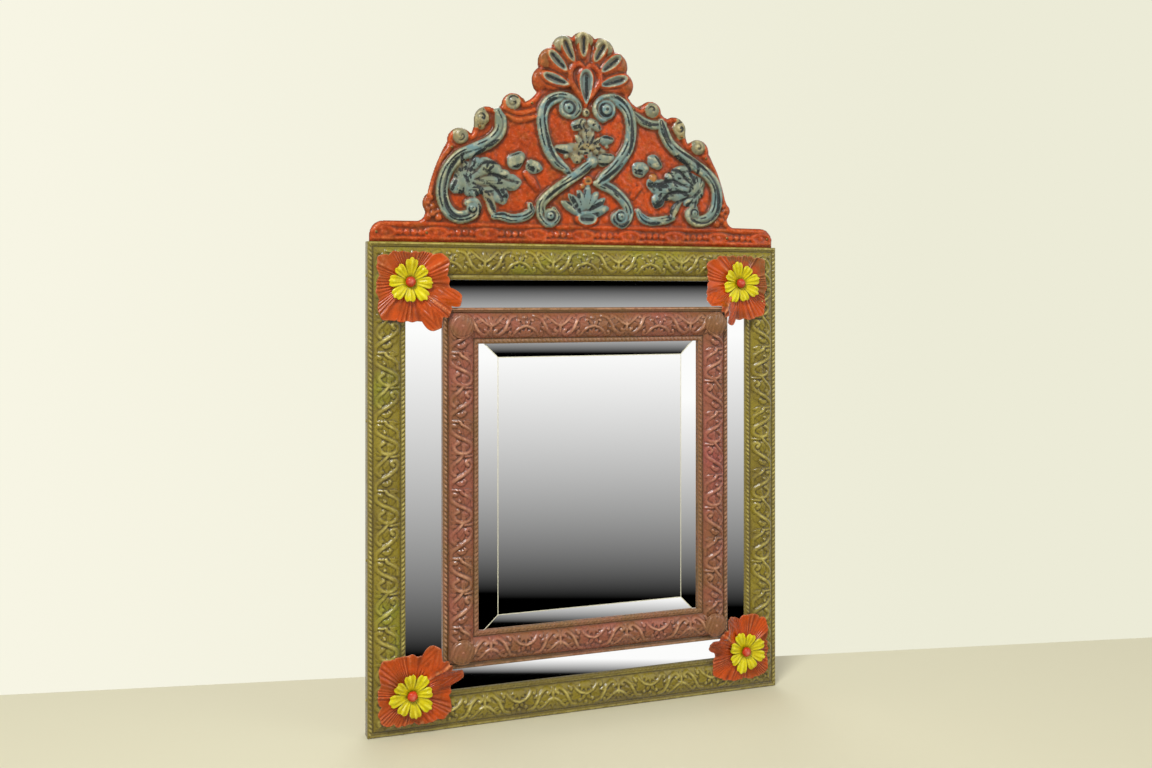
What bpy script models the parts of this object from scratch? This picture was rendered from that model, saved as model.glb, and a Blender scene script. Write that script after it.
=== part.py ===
"""Cushion mirror: pressed and painted sheet metal over a pine carcase, with sloping mirror strips.

The wall face lies in the plane y = 0 and the mirror looks along -Y, with +Z up. The origin is the
middle of the rectangular frame on the wall face. A depth is measured forward from the wall face.
"""

import math

import bmesh
import bpy
from mathutils import Matrix, Vector

MM = 0.001

# Gap kept between two pieces that touch, and the sheet metal's thickness
CLEARANCE = 0.3 * MM
SHEET = 0.8 * MM

# Rectangular frame, over the outer edges of the outer mouldings
FRAME_W = 406 * MM
FRAME_H = 436 * MM

# Mouldings: width, depth of the crown, and depth of the rope beads on the two edges
OUTER_MOULDING_W = 33.5 * MM
OUTER_CROWN = 22 * MM
OUTER_BEAD = 18.8 * MM
OUTER_SKIRT_FOOT = 6 * MM
INNER_MOULDING_W = 32 * MM
INNER_CROWN = 42 * MM
INNER_BEAD_OUTSIDE = 37.3 * MM
INNER_BEAD_INSIDE = 38.5 * MM
BEAD_W = 4.6 * MM
BEAD_GROOVE = 1.2 * MM
CROWN_STEPS = 6

# Mirror strips: width seen from the front, depth of the front face at both edges, glass
STRIP_SIDE_W = 29.5 * MM
STRIP_TOP_W = 25 * MM
STRIP_OUTER_DEPTH = 14 * MM
STRIP_INNER_DEPTH = 29 * MM
STRIP_GLASS = 3 * MM
STRIP_TUCK = 2.5 * MM
STRIP_NIP = 5 * MM

# Centre glass: how far it reaches under the inner mouldings, its bevel, depth of the front face, thickness
GLASS_LAP_SIDE = 4 * MM
GLASS_LAP_TOP = 9.5 * MM
BEVEL_W = 22 * MM
BEVEL_DROP = 2.2 * MM
GLASS_FRONT = 37 * MM
GLASS_EDGE = 1.8 * MM
GLASS_PANEL = 4 * MM
FILLET = 12 * MM

# Pine boards and rails
BACK_BOARD = 5 * MM
BACK_BOARD_INSET = 2 * MM
CREST_BOARD = 8 * MM
CREST_BOARD_INSET = 3 * MM
TONGUE_W = 320 * MM
TONGUE_H = 29 * MM
BED_TUCK = 3 * MM
INNER_RAIL_INSET = 3 * MM

# Crest: base band, width and height of the body, shell, and the relief on it
BAND_INSET = 2 * MM
BAND_H = 18.7 * MM
CREST_W = 304 * MM
CREST_H = 201.5 * MM
RELIEF = 3.2 * MM
BEAD_PITCH = 47 * MM
BEADS_BETWEEN = 4
SHELL_RAYS = 7
SHELL_RADIUS = 52.5 * MM
SHELL_NOTCH = 6 * MM
ARC_STEPS = 5

# Corner sprays, flowers, rosettes
FLOWER_IN_X = 4.5 * MM
FLOWER_IN_Z = 2 * MM
SPRAY_R = 31 * MM
SPRAY_LEAF = 14 * MM
SPRAY_UNDER_BEAD = 3 * MM
SPRAY_LOBES = 10
SPRAY_RINGS = 5
FLOWER_R = 19.5 * MM
FLOWER_CUP = 4.6 * MM
PETALS = 8
ROSETTE_R = 11 * MM
ROSETTE_H = 3 * MM

# Tacks and pins: shank and head radii, height of the dome, and how far the points reach
TACK_SHANK = 1 * MM
TACK_HEAD = 5 * MM
TACK_DOME = 4 * MM
TACK_POINT = 8 * MM
PIN_SHANK = 0.8 * MM
PIN_HEAD = 2 * MM
PIN_DOME = 1.1 * MM
PIN_LENGTH = 8 * MM

# Hanger: ring wire, ring shape, plate
HANGER_Z = 300 * MM
RING_WIRE = 1.1 * MM
RING_HALF_W = 11.5 * MM
RING_SIDE = 5 * MM
RING_CORNER = 4 * MM
PLATE = 0.8 * MM
PLATE_W = 14 * MM
PLATE_H = 23 * MM
SCREW_SHANK = 1.2 * MM
SCREW_HEAD = 2.6 * MM
SCREW_HEAD_H = 1.4 * MM
SCREW_LENGTH = 6 * MM

# Lines that the driving dimensions fix
FRAME_X, FRAME_Z = FRAME_W / 2, FRAME_H / 2
OPEN_X, OPEN_Z = FRAME_X - OUTER_MOULDING_W, FRAME_Z - OUTER_MOULDING_W
INNER_X, INNER_Z = OPEN_X - STRIP_SIDE_W, OPEN_Z - STRIP_TOP_W
GLASS_X = INNER_X - INNER_MOULDING_W + GLASS_LAP_SIDE
GLASS_Z = INNER_Z - INNER_MOULDING_W + GLASS_LAP_TOP
BAND_W = FRAME_W - 2 * BAND_INSET
SHELL_Z = FRAME_Z + CREST_H - SHELL_RADIUS
SHELL_LOBE = math.radians(28.5)
WOOD_BACK = BACK_BOARD + CLEARANCE
CREST_BOARD_FRONT = WOOD_BACK + CREST_BOARD
CREST_GROUND = CREST_BOARD_FRONT + CLEARANCE + SHEET
GLASS_BACK = GLASS_FRONT - BEVEL_DROP - GLASS_EDGE
SPRAY_BASE = OUTER_CROWN + CLEARANCE
SPRAY_TIP = INNER_BEAD_OUTSIDE - SPRAY_UNDER_BEAD
SPRAY_GAP = SHEET + CLEARANCE
RING_DEPTH = BACK_BOARD - PLATE - RING_WIRE - CLEARANCE
TURNS = {"right": 0, "top": -90, "left": 180, "bottom": 90}
CORNERS = {"top_left": (-1, 1), "top_right": (1, 1), "bottom_left": (-1, -1), "bottom_right": (1, -1)}
# The flowers were nailed on by eye: how far each one sits further in than the first
HAND_SHIFT = {
    "top_left": (-1.5 * MM, 0),
    "top_right": (5 * MM, 0),
    "bottom_left": (0, 0),
    "bottom_right": (-1 * MM, 4 * MM),
}


def new_collection(name):
    collection = bpy.data.collections.new(name)
    bpy.context.scene.collection.children.link(collection)
    return collection


for old in list(bpy.data.objects):
    bpy.data.objects.remove(old, do_unlink=True)
PARTS = new_collection("framed_mirror")
CUTTERS = new_collection("cutters")


def finish(name, colour, roughness, metallic=0.0):
    material = bpy.data.materials.new(name)
    material.use_nodes = True
    shader = material.node_tree.nodes["Principled BSDF"]
    shader.inputs["Base Color"].default_value = (*colour, 1.0)
    shader.inputs["Roughness"].default_value = roughness
    shader.inputs["Metallic"].default_value = metallic
    return material


PINE = finish("pine", (0.42, 0.27, 0.14), 0.75)
OLIVE = finish("olive_paint", (0.22, 0.19, 0.04), 0.45)
ROSE = finish("rose_brown_paint", (0.24, 0.09, 0.06), 0.45)
RED = finish("brick_red_paint", (0.46, 0.07, 0.03), 0.4)
YELLOW = finish("yellow_paint", (0.70, 0.68, 0.03), 0.4)
SILVERED = finish("silvered_glass", (0.9, 0.9, 0.9), 0.02, 1.0)
BRASS = finish("brass", (0.55, 0.38, 0.14), 0.35, 1.0)
STEEL = finish("steel", (0.35, 0.34, 0.32), 0.45, 1.0)


def link(obj, name, material=None):
    """Puts an object in the part's collection, or among the cutters if it has no material."""
    obj.name = name
    for collection in list(obj.users_collection):
        collection.objects.unlink(obj)
    if material is None:
        CUTTERS.objects.link(obj)
        obj.hide_render = True
        obj.display_type = "WIRE"
    else:
        PARTS.objects.link(obj)
        obj.data.materials.clear()
        obj.data.materials.append(material)
    return obj


def mesh_object(bm, name, material=None):
    mesh = bpy.data.meshes.new(name)
    bm.to_mesh(mesh)
    bm.free()
    return link(bpy.data.objects.new(name, mesh), name, material)


def as_mesh(obj):
    """The evaluated object as a welded bmesh in its own space; the object itself is removed."""
    PARTS.objects.link(obj)
    evaluated = obj.evaluated_get(bpy.context.evaluated_depsgraph_get())
    mesh = bpy.data.meshes.new_from_object(evaluated)
    bpy.data.objects.remove(obj, do_unlink=True)
    bm = bmesh.new()
    bm.from_mesh(mesh)
    bpy.data.meshes.remove(mesh)
    bmesh.ops.remove_doubles(bm, verts=bm.verts, dist=0.001 * MM)
    bmesh.ops.recalc_face_normals(bm, faces=bm.faces)
    return bm


def outline_solid(outlines, half_thickness):
    """Closed outlines in the XY plane, the later ones being holes, as a welded solid."""
    curve = bpy.data.curves.new("outline", "CURVE")
    curve.dimensions = "2D"
    curve.fill_mode = "BOTH"
    curve.extrude = half_thickness
    for outline in outlines:
        spline = curve.splines.new("POLY")
        spline.points.add(len(outline) - 1)
        spline.use_cyclic_u = True
        for point, (x, y) in zip(spline.points, outline):
            point.co = (x, y, 0, 1)
    return as_mesh(bpy.data.objects.new("outline", curve))


def front_plate(name, outline, back, thickness, material):
    """A plate parallel to the wall: its outline in x and z, the depth of its back, its thickness."""
    bm = outline_solid([outline], thickness / 2)
    stand_up = Matrix.Rotation(math.radians(90), 4, "X")
    bmesh.ops.transform(bm, matrix=stand_up, verts=bm.verts)
    plate = mesh_object(bm, name, material)
    plate.location.y = -(back + thickness / 2)
    return plate


def tube(points, radius, material=None, name="tube", cyclic=False, smooth=2, sides=1):
    """A round bar along smooth points, as a bmesh or, with a material, as a part."""
    curve = bpy.data.curves.new(name, "CURVE")
    curve.dimensions = "3D"
    curve.bevel_depth = radius
    curve.bevel_resolution = sides
    curve.use_fill_caps = not cyclic
    curve.resolution_u = smooth
    spline = curve.splines.new("POLY" if cyclic else "BEZIER")
    spline.use_cyclic_u = cyclic
    if cyclic:
        spline.points.add(len(points) - 1)
        for point, place in zip(spline.points, points):
            point.co = (*place, 1)
    else:
        spline.bezier_points.add(len(points) - 1)
        for point, place in zip(spline.bezier_points, points):
            point.co = place
            point.handle_left_type = "AUTO"
            point.handle_right_type = "AUTO"
    bm = as_mesh(bpy.data.objects.new(name, curve))
    return bm if material is None else mesh_object(bm, name, material)


def turned(profile, steps):
    """A turned solid about Z as a bmesh, from a profile of (radius, height) that runs top to bottom."""
    mesh = bpy.data.meshes.new("profile")
    edges = [(k, k + 1) for k in range(len(profile) - 1)]
    mesh.from_pydata([(radius, 0, height) for radius, height in profile], edges, [])
    obj = bpy.data.objects.new("profile", mesh)
    screw = obj.modifiers.new("turn", "SCREW")
    screw.steps = steps
    screw.render_steps = steps
    screw.use_merge_vertices = True
    screw.merge_threshold = 0.01 * MM
    return as_mesh(obj)


def rods(name, places, radius, low, high):
    """A cutter of round rods along the local Z of each placing matrix, from low to high."""
    bm = bmesh.new()
    for place in places:
        middle = Matrix.Translation((0, 0, (low + high) / 2))
        bmesh.ops.create_cone(
            bm, cap_ends=True, segments=10, radius1=radius, radius2=radius,
            depth=high - low, matrix=place @ middle,
        )
    return mesh_object(bm, name)


def cut(obj, cutter):
    boolean = obj.modifiers.new("cut", "BOOLEAN")
    boolean.operation = "DIFFERENCE"
    boolean.solver = "EXACT"
    boolean.object = cutter


def facing_front(x, z, depth):
    """Places something on the front side, with its +Z out of the wall."""
    return Matrix.Translation((x, -depth, z)) @ Matrix.Rotation(math.radians(90), 4, "X")


def facing_back(x, z, depth):
    return Matrix.Translation((x, -depth, z)) @ Matrix.Rotation(math.radians(-90), 4, "X")


def nail_profile(shank, head, dome, length):
    """A fastener whose head's underside is at height 0: dome over the head, shank down to -length."""
    return [
        (0, dome),
        (head * 0.55, dome * 0.8),
        (head * 0.9, dome * 0.4),
        (head, 0),
        (shank, 0),
        (shank, -length + shank),
        (0, -length),
    ]


def offset_line(line, distance):
    """The line moved to its right-hand side by a distance, with mitred corners."""
    normals = []
    for (u0, d0), (u1, d1) in zip(line, line[1:]):
        length = math.hypot(u1 - u0, d1 - d0)
        normals.append(((d1 - d0) / length, (u0 - u1) / length))
    moved = []
    for k, (u, d) in enumerate(line):
        before = normals[max(k - 1, 0)]
        after = normals[min(k, len(normals) - 1)]
        scale = distance / (1 + before[0] * after[0] + before[1] * after[1])
        moved.append((u + scale * (before[0] + after[0]), d + scale * (before[1] + after[1])))
    return moved


def moulding_line(width, outer_foot, outer_bead, crown, inner_bead, inner_foot):
    """Front line of a moulding as (distance in from its outer edge, depth): bead, arched field, bead."""
    outer_groove = outer_bead - BEAD_GROOVE
    inner_groove = inner_bead - BEAD_GROOVE
    rise = crown - (outer_groove + inner_groove) / 2
    shoulder = BEAD_W / 4
    line = [(0, outer_foot), (0, outer_bead - shoulder), (shoulder, outer_bead)]
    line += [(BEAD_W - shoulder, outer_bead), (BEAD_W, outer_groove)]
    for k in range(1, CROWN_STEPS):
        share = k / CROWN_STEPS
        ground = outer_groove + (inner_groove - outer_groove) * share
        arch = math.sin(math.pi * share) ** 0.6
        line.append((BEAD_W + (width - 2 * BEAD_W) * share, ground + rise * arch))
    line += [(width - BEAD_W, inner_groove), (width - BEAD_W + shoulder, inner_bead)]
    line += [(width - shoulder, inner_bead), (width, inner_bead - shoulder), (width, inner_foot)]
    return line


def wood_under(line, last):
    """Where pine may reach under a moulding's sheet: its arched field, as far in as the given distance."""
    inside = offset_line(line, SHEET + CLEARANCE)
    field = inside[4:4 + CROWN_STEPS + 1]
    first = SHEET + CLEARANCE
    edge = min(inside[4][1], inside[2][1]) - CLEARANCE
    top = [(first, edge)]
    for (u0, d0), (u1, d1) in zip(field, field[1:]):
        top.append((u0, d0))
        if u1 >= last:
            share = (last - u0) / (u1 - u0)
            return top + [(last, d0 + (d1 - d0) * share)]
    return top + [field[-1], (last, field[-1][1])]


def by_side(side, x, z):
    """A point of the plan as (outward, along) for the bar on one side of the frame."""
    return (x, z) if side in ("left", "right") else (z, x)


def bar(name, section, side, outer, inner, material, nip=None):
    """A mitred bar: its section (outward, -depth) drawn along one side and cut on the line between
    two corners of the plan. With a nip, the outer corner of each end is cut off square to the mitre."""
    bm = outline_solid([section], 2 * outer[1])
    for end in (1, -1):
        mitre = Vector((outer[0] - inner[0], 0, (outer[1] - inner[1]) * end)).normalized()
        planes = [(Vector((outer[0], 0, outer[1] * end)), Vector((-mitre.z * end, 0, mitre.x * end)))]
        if nip is not None:
            planes.append((Vector((nip[0], 0, nip[1] * end)), mitre))
        for place, normal in planes:
            everything = bm.verts[:] + bm.edges[:] + bm.faces[:]
            made = bmesh.ops.bisect_plane(
                bm, geom=everything, dist=0.001 * MM, plane_co=place - normal * CLEARANCE / 2,
                plane_no=normal, clear_outer=True,
            )
            rim = [edge for edge in made["geom_cut"] if isinstance(edge, bmesh.types.BMEdge)]
            bmesh.ops.edgeloop_fill(bm, edges=rim)
    bmesh.ops.recalc_face_normals(bm, faces=bm.faces)
    obj = mesh_object(bm, name, material)
    obj.rotation_euler.y = math.radians(TURNS[side])
    return obj


def box(name, low, high, material):
    """A box between two corners given as (x, depth, z)."""
    size = [high[k] - low[k] for k in range(3)]
    bm = bmesh.new()
    bmesh.ops.create_cube(bm, size=1, matrix=Matrix.Diagonal((*size, 1)))
    obj = mesh_object(bm, name, material)
    obj.location = ((low[0] + high[0]) / 2, -(low[1] + high[1]) / 2, (low[2] + high[2]) / 2)
    return obj


def arc(start, end, bulge):
    """Points from start up to end, but without it, on an arc that bulges to the right of the way."""
    (x0, y0), (x1, y1) = start, end
    if bulge == 0:
        return [start]
    chord = math.hypot(x1 - x0, y1 - y0)
    radius = (chord * chord / 4 + bulge * bulge) / (2 * bulge)
    right = ((y1 - y0) / chord, (x0 - x1) / chord)
    centre_x = (x0 + x1) / 2 + right[0] * (bulge - radius)
    centre_y = (y0 + y1) / 2 + right[1] * (bulge - radius)
    first = math.atan2(y0 - centre_y, x0 - centre_x)
    turn = (math.atan2(y1 - centre_y, x1 - centre_x) - first) % math.tau
    if bulge < 0:
        turn -= math.tau
    radius = abs(radius)
    return [
        (centre_x + radius * math.cos(first + turn * k / ARC_STEPS),
         centre_y + radius * math.sin(first + turn * k / ARC_STEPS))
        for k in range(ARC_STEPS)
    ]


def round_outline(knots):
    """A closed outline from knots of (x, y, bulge to the next knot)."""
    points = []
    for (x, y, bulge), (next_x, next_y, _) in zip(knots, knots[1:] + knots[:1]):
        points += arc((x, y), (next_x, next_y), bulge)
    return points


def flower_place(corner):
    """Middle of a corner's flower, and the direction from there to the inner frame's corner."""
    sign_x, sign_z = CORNERS[corner]
    shift_x, shift_z = HAND_SHIFT[corner]
    x = OPEN_X - FLOWER_IN_X - shift_x
    z = OPEN_Z - FLOWER_IN_Z - shift_z
    return sign_x * x, sign_z * z, math.atan2(sign_z * (INNER_Z - z), sign_x * (INNER_X - x))


# Pine back board, on which the rails, wedges and the crest's tongue are built up
back_board = box(
    "back_board",
    (BACK_BOARD_INSET - FRAME_X, 0, BACK_BOARD_INSET - FRAME_Z),
    (FRAME_X - BACK_BOARD_INSET, BACK_BOARD, FRAME_Z - BACK_BOARD_INSET),
    PINE,
)

# Outer rails and their pressed mouldings. The top rail is thinner, with the crest's tongue behind it
bed_edge = {"left": OPEN_X + BED_TUCK, "top": OPEN_Z + BED_TUCK * STRIP_TOP_W / STRIP_SIDE_W}
bed_edge["right"], bed_edge["bottom"] = bed_edge["left"], bed_edge["top"]
frame_edge = {"left": FRAME_X, "right": FRAME_X, "top": FRAME_Z, "bottom": FRAME_Z}
outer_rails, outer_mouldings = {}, {}
for side in TURNS:
    edge = frame_edge[side]
    rail_back, foot = WOOD_BACK, OUTER_SKIRT_FOOT
    if side == "top":
        rail_back = CREST_BOARD_FRONT + CLEARANCE
        foot = rail_back + SHEET
    line = moulding_line(
        OUTER_MOULDING_W, foot, OUTER_BEAD, OUTER_CROWN, OUTER_BEAD, STRIP_OUTER_DEPTH + CLEARANCE
    )
    section = [(edge - u, -d) for u, d in line + offset_line(line, SHEET)[::-1]]
    mitre = by_side(side, FRAME_X, FRAME_Z), by_side(side, OPEN_X, OPEN_Z)
    outer_mouldings[side] = bar("outer_moulding_" + side, section, side, *mitre, OLIVE)
    wood = wood_under(line, edge - bed_edge[side] - CLEARANCE)
    wood = [(wood[0][0], rail_back)] + wood + [(wood[-1][0], rail_back)]
    section = [(edge - u, -d) for u, d in wood]
    outer_rails[side] = bar("outer_rail_" + side, section, side, *mitre, PINE)

# Sloping mirror strips on pine wedges, mitred on the lines between the two frames' corners
strip_beds = {}
for side in TURNS:
    outer, inner = by_side(side, OPEN_X, OPEN_Z), by_side(side, INNER_X, INNER_Z)
    run = outer[0] - inner[0]
    slope = (STRIP_INNER_DEPTH - STRIP_OUTER_DEPTH) / run
    steep = math.hypot(1, slope)

    def front(out, sink=0.0):
        """Depth of a plane that lies a given distance under the strip's front face."""
        return STRIP_OUTER_DEPTH + (outer[0] - out) * slope - sink * steep

    tuck_out = outer[0] + STRIP_TUCK * run / STRIP_SIDE_W
    tuck_in = inner[0] - SHEET - CLEARANCE
    square = STRIP_GLASS * slope / steep
    glass = [(tuck_out, front(tuck_out)), (tuck_in, front(tuck_in))]
    glass += [(tuck_in - square, front(tuck_in - square, STRIP_GLASS))]
    glass += [(tuck_out - square, front(tuck_out - square, STRIP_GLASS))]
    strip_nip = by_side(side, OPEN_X - FLOWER_IN_X - STRIP_NIP, OPEN_Z - FLOWER_IN_Z - STRIP_NIP)
    bar("strip_mirror_" + side, [(r, -d) for r, d in glass], side, outer, inner, SILVERED, strip_nip)
    under = STRIP_GLASS + CLEARANCE
    bed_out = bed_edge[side]
    bed_in = inner[0] - INNER_RAIL_INSET + CLEARANCE
    wedge = [(bed_out, WOOD_BACK), (bed_out, front(bed_out, under))]
    wedge += [(bed_in, front(bed_in, under)), (bed_in, WOOD_BACK)]
    strip_beds[side] = bar("strip_bed_" + side, [(r, -d) for r, d in wedge], side, outer, inner, PINE)

# Inner rails, which stop at the rebate of the centre glass, and their pressed mouldings
inner_rails, inner_mouldings = {}, {}
for side in TURNS:
    edge = by_side(side, INNER_X, INNER_Z)[0]
    glass_edge = by_side(side, GLASS_X, GLASS_Z)[0]
    sight = edge - INNER_MOULDING_W
    glass_here = GLASS_FRONT - BEVEL_DROP * (1 - (glass_edge - sight) / BEVEL_W)
    line = moulding_line(
        INNER_MOULDING_W, STRIP_INNER_DEPTH + SHEET + CLEARANCE, INNER_BEAD_OUTSIDE, INNER_CROWN,
        INNER_BEAD_INSIDE, glass_here + CLEARANCE,
    )
    section = [(edge - u, -d) for u, d in line + offset_line(line, SHEET)[::-1]]
    mitre = by_side(side, INNER_X, INNER_Z)
    mitre = mitre, (mitre[0] - INNER_MOULDING_W, mitre[1] - INNER_MOULDING_W)
    inner_mouldings[side] = bar("inner_moulding_" + side, section, side, *mitre, ROSE)
    wood = wood_under(line, edge - glass_edge - CLEARANCE)
    wood[0] = (INNER_RAIL_INSET, wood[0][1])
    wood = [(INNER_RAIL_INSET, WOOD_BACK)] + wood + [(wood[-1][0], WOOD_BACK)]
    inner_rails[side] = bar("inner_rail_" + side, [(edge - u, -d) for u, d in wood], side, *mitre, PINE)

# Bevelled centre glass: a thin plate whose front face is drawn in and raised
glass_bm = bmesh.new()
bmesh.ops.create_cube(glass_bm, size=1, matrix=Matrix.Diagonal((2 * GLASS_X, GLASS_EDGE, 2 * GLASS_Z, 1)))
front_faces = [face for face in glass_bm.faces if face.normal.y < -0.5]
bmesh.ops.inset_individual(
    glass_bm, faces=front_faces, thickness=BEVEL_W, depth=BEVEL_DROP, use_even_offset=True
)
centre_mirror = mesh_object(glass_bm, "centre_mirror", SILVERED)
centre_mirror.location.y = -(GLASS_BACK + GLASS_EDGE / 2)

# Thin panel behind the glass, and four fillets against the rails that hold it in
panel_front = GLASS_BACK - CLEARANCE
panel_back = panel_front - GLASS_PANEL
fillet_front = panel_back - CLEARANCE
box("glass_back_panel", (-GLASS_X, panel_back, -GLASS_Z), (GLASS_X, panel_front, GLASS_Z), PINE)
for side, sign in (("left", -1), ("right", 1)):
    near, far = sorted((sign * GLASS_X, sign * (GLASS_X - FILLET)))
    box("glass_fillet_" + side, (near, fillet_front - FILLET, -GLASS_Z), (far, fillet_front, GLASS_Z), PINE)
for side, sign in (("bottom", -1), ("top", 1)):
    near, far = sorted((sign * GLASS_Z, sign * (GLASS_Z - FILLET)))
    reach = GLASS_X - FILLET - CLEARANCE
    box("glass_fillet_" + side, (-reach, fillet_front - FILLET, near), (reach, fillet_front, far), PINE)


# The crest's drawing below is 304 units wide and 201.5 high
DRAWN = CREST_W / 304


def crest_at(x, h):
    """A point of the crest's drawing on the real crest."""
    return x * DRAWN, FRAME_Z + h * CREST_H / 201.5


def crest_outline(inset):
    """Outline of the crest from the base band's right end over the shell to its left end, drawn in by
    an inset: the band, three scroll lobes, the neck, and the lobes of the shell."""
    base = FRAME_Z + CLEARANCE + inset
    end_x = BAND_W / 2 - inset
    band_top = FRAME_Z + BAND_H - inset
    end_round = (band_top - base) * 0.68
    knots = [(end_x, base, 0), (end_x, band_top - end_round, end_round * 0.29)]
    knots.append((end_x - end_round, band_top, 0))
    side = [
        (158, 19, -2), (151, 28, 3.5), (149, 44, 2), (131, 91, 9), (109, 99, -1),
        (106, 111, 7), (87, 123, -1), (80, 128, 9), (58, 131, -1.5),
    ]
    for x, h, bulge in side:
        px, pz = crest_at(x, h)
        knots.append((px - inset, pz - inset * 0.6, bulge * DRAWN))
    notch = SHELL_RADIUS - SHELL_NOTCH - inset
    first = math.radians(90) - SHELL_LOBE * SHELL_RAYS / 2
    for k in range(SHELL_RAYS // 2 + 1):
        angle = first + SHELL_LOBE * k
        knots.append((notch * math.cos(angle), SHELL_Z + notch * math.sin(angle), SHELL_NOTCH))
    mirrored = [(-x, z, 0) for x, z, _ in reversed(knots)]
    bulges = [bulge for _, _, bulge in knots[:-1]][::-1] + [0]
    mirrored = [(x, z, bulge) for (x, z, _), bulge in zip(mirrored, bulges)]
    return knots + mirrored


def crest_sheet_outline():
    return round_outline(crest_outline(0))


def crest_board_outline():
    """The board follows the sheet a little inside its edge, and has a tongue below the frame's top."""
    points = round_outline(crest_outline(CREST_BOARD_INSET))
    low = FRAME_Z - TONGUE_H
    shoulder = points[0][1] - CREST_BOARD_INSET / 3
    half = TONGUE_W / 2
    return points + [(-half, shoulder), (-half, low), (half, low), (half, shoulder)]


# Crest board, with its tongue between the back board and the top rail
crest_board = front_plate("crest_board", crest_board_outline(), WOOD_BACK, CREST_BOARD, PINE)


def sunk(bm, depth):
    """Flattens what lies behind a depth, so that relief ends inside the sheet."""
    for vert in bm.verts:
        vert.co.y = min(vert.co.y, -depth)
    return bm


relief_work = bpy.data.collections.new("crest_relief")
CUTTERS.children.link(relief_work)


class Relief:
    """Raised work on the crest: closed solids, one each, that end inside the sheet's thickness."""

    def take(self, bm):
        sink = SHEET * (0.35 + 0.003 * len(relief_work.objects))
        bmesh.ops.recalc_face_normals(sunk(bm, CREST_GROUND - sink), faces=bm.faces)
        raised = mesh_object(bm, "crest_relief")
        CUTTERS.objects.unlink(raised)
        relief_work.objects.link(raised)

    def ridge(self, drawing, radius, mirror):
        """A half-round strap along points of the drawing."""
        points = []
        for x, h in drawing:
            px, pz = crest_at(x * mirror, h)
            points.append((px, -(CREST_GROUND - SHEET / 4), pz))
        self.take(tube(points, radius))

    def boss(self, x, z, long, broad, height, lean):
        """A long rounded boss on the sheet, leaning by an angle from upright."""
        bm = bmesh.new()
        turn = Matrix.Rotation(lean, 4, "Y")
        size = Matrix.Diagonal((broad, height, long, 1))
        place = Matrix.Translation((x, -(CREST_GROUND - SHEET / 4), z))
        bmesh.ops.create_uvsphere(bm, u_segments=8, v_segments=5, radius=1, matrix=place @ turn @ size)
        self.take(bm)


relief = Relief()
STRAP = [
    (21, 129), (28, 126), (24, 117), (14, 120), (13, 132), (24, 140), (37, 137), (45, 122), (46, 104),
    (40, 85), (27, 71), (4, 63), (-16, 50), (-33, 38), (-42, 27), (-36, 19), (-28, 24), (-32, 30),
]
SIDE_SCROLL = [
    (84, 120), (85, 104), (95, 89), (113, 77), (129, 64), (136, 46), (132, 31), (122, 24), (111, 27),
    (108, 36), (116, 39),
]
LINK = [(50, 128), (62, 122), (73, 121), (80, 121)]
FOOT_SCROLL = [(92, 35), (86, 28), (72, 24), (58, 26), (51, 33), (56, 38)]
EDGE_LOBES = [(120, 96, 6), (97, 115, 6), (69, 131, 7), (146, 35, 5)]
BLOSSOMS = [(48, 71), (66, 81), (57, 66)]
MIDDLE_LEAVES = [(17, 91, 60), (25, 99, -50), (10, 79, 40)]
for mirror in (1, -1):
    relief.ridge(STRAP, RELIEF, mirror)
    relief.ridge(SIDE_SCROLL, RELIEF * 1.15, mirror)
    relief.ridge(LINK, RELIEF * 0.8, mirror)
    relief.ridge(FOOT_SCROLL, RELIEF * 0.9, mirror)
    for x, h, size in EDGE_LOBES:
        relief.boss(*crest_at(x * mirror, h), size * DRAWN, size * DRAWN, RELIEF * 0.8, 0)
    for x, h in BLOSSOMS:
        relief.boss(*crest_at(x * mirror, h), 5 * DRAWN, 5 * DRAWN, RELIEF * 0.7, 0)
    for x, h, lean in MIDDLE_LEAVES:
        relief.boss(*crest_at(x * mirror, h), 8 * DRAWN, 4 * DRAWN, RELIEF * 0.7, math.radians(lean * mirror))
    for k in range(5):
        angle = math.radians(98 + 22 * k)
        root_x, root_h = 113, 42
        reach = 24 - 1.5 * k
        x, h = root_x + reach * math.cos(angle), root_h + reach * math.sin(angle)
        lean = (math.pi / 2 - angle) * mirror
        relief.boss(*crest_at(x * mirror, h), 13 * DRAWN, 5 * DRAWN, RELIEF * 0.9, lean)

# Shell: a fan of long rays round a heart-shaped boss
ray_at = SHELL_RADIUS * 0.63
for k in range(SHELL_RAYS):
    angle = math.radians(90) + SHELL_LOBE * (k - (SHELL_RAYS - 1) / 2)
    x, z = ray_at * math.cos(angle), SHELL_Z + ray_at * math.sin(angle)
    relief.boss(x, z, SHELL_RADIUS * 0.25, SHELL_RADIUS * 0.125, RELIEF * 1.2, math.pi / 2 - angle)
relief.boss(0, SHELL_Z + SHELL_RADIUS * 0.08, SHELL_RADIUS * 0.29, SHELL_RADIUS * 0.15, RELIEF * 1.4, 0)

# Small palmette at the foot of the crest, over an oval boss
foot_x, foot_z = crest_at(0, 34)
for k in range(5):
    angle = math.radians(30 + 30 * k)
    x, z = foot_x + 10 * DRAWN * math.cos(angle), foot_z + 10 * DRAWN * math.sin(angle)
    relief.boss(x, z, 8 * DRAWN, 3.2 * DRAWN, RELIEF * 0.8, math.pi / 2 - angle)
relief.boss(*crest_at(0, 24.5), 4 * DRAWN, 8 * DRAWN, RELIEF * 0.9, 0)

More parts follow.
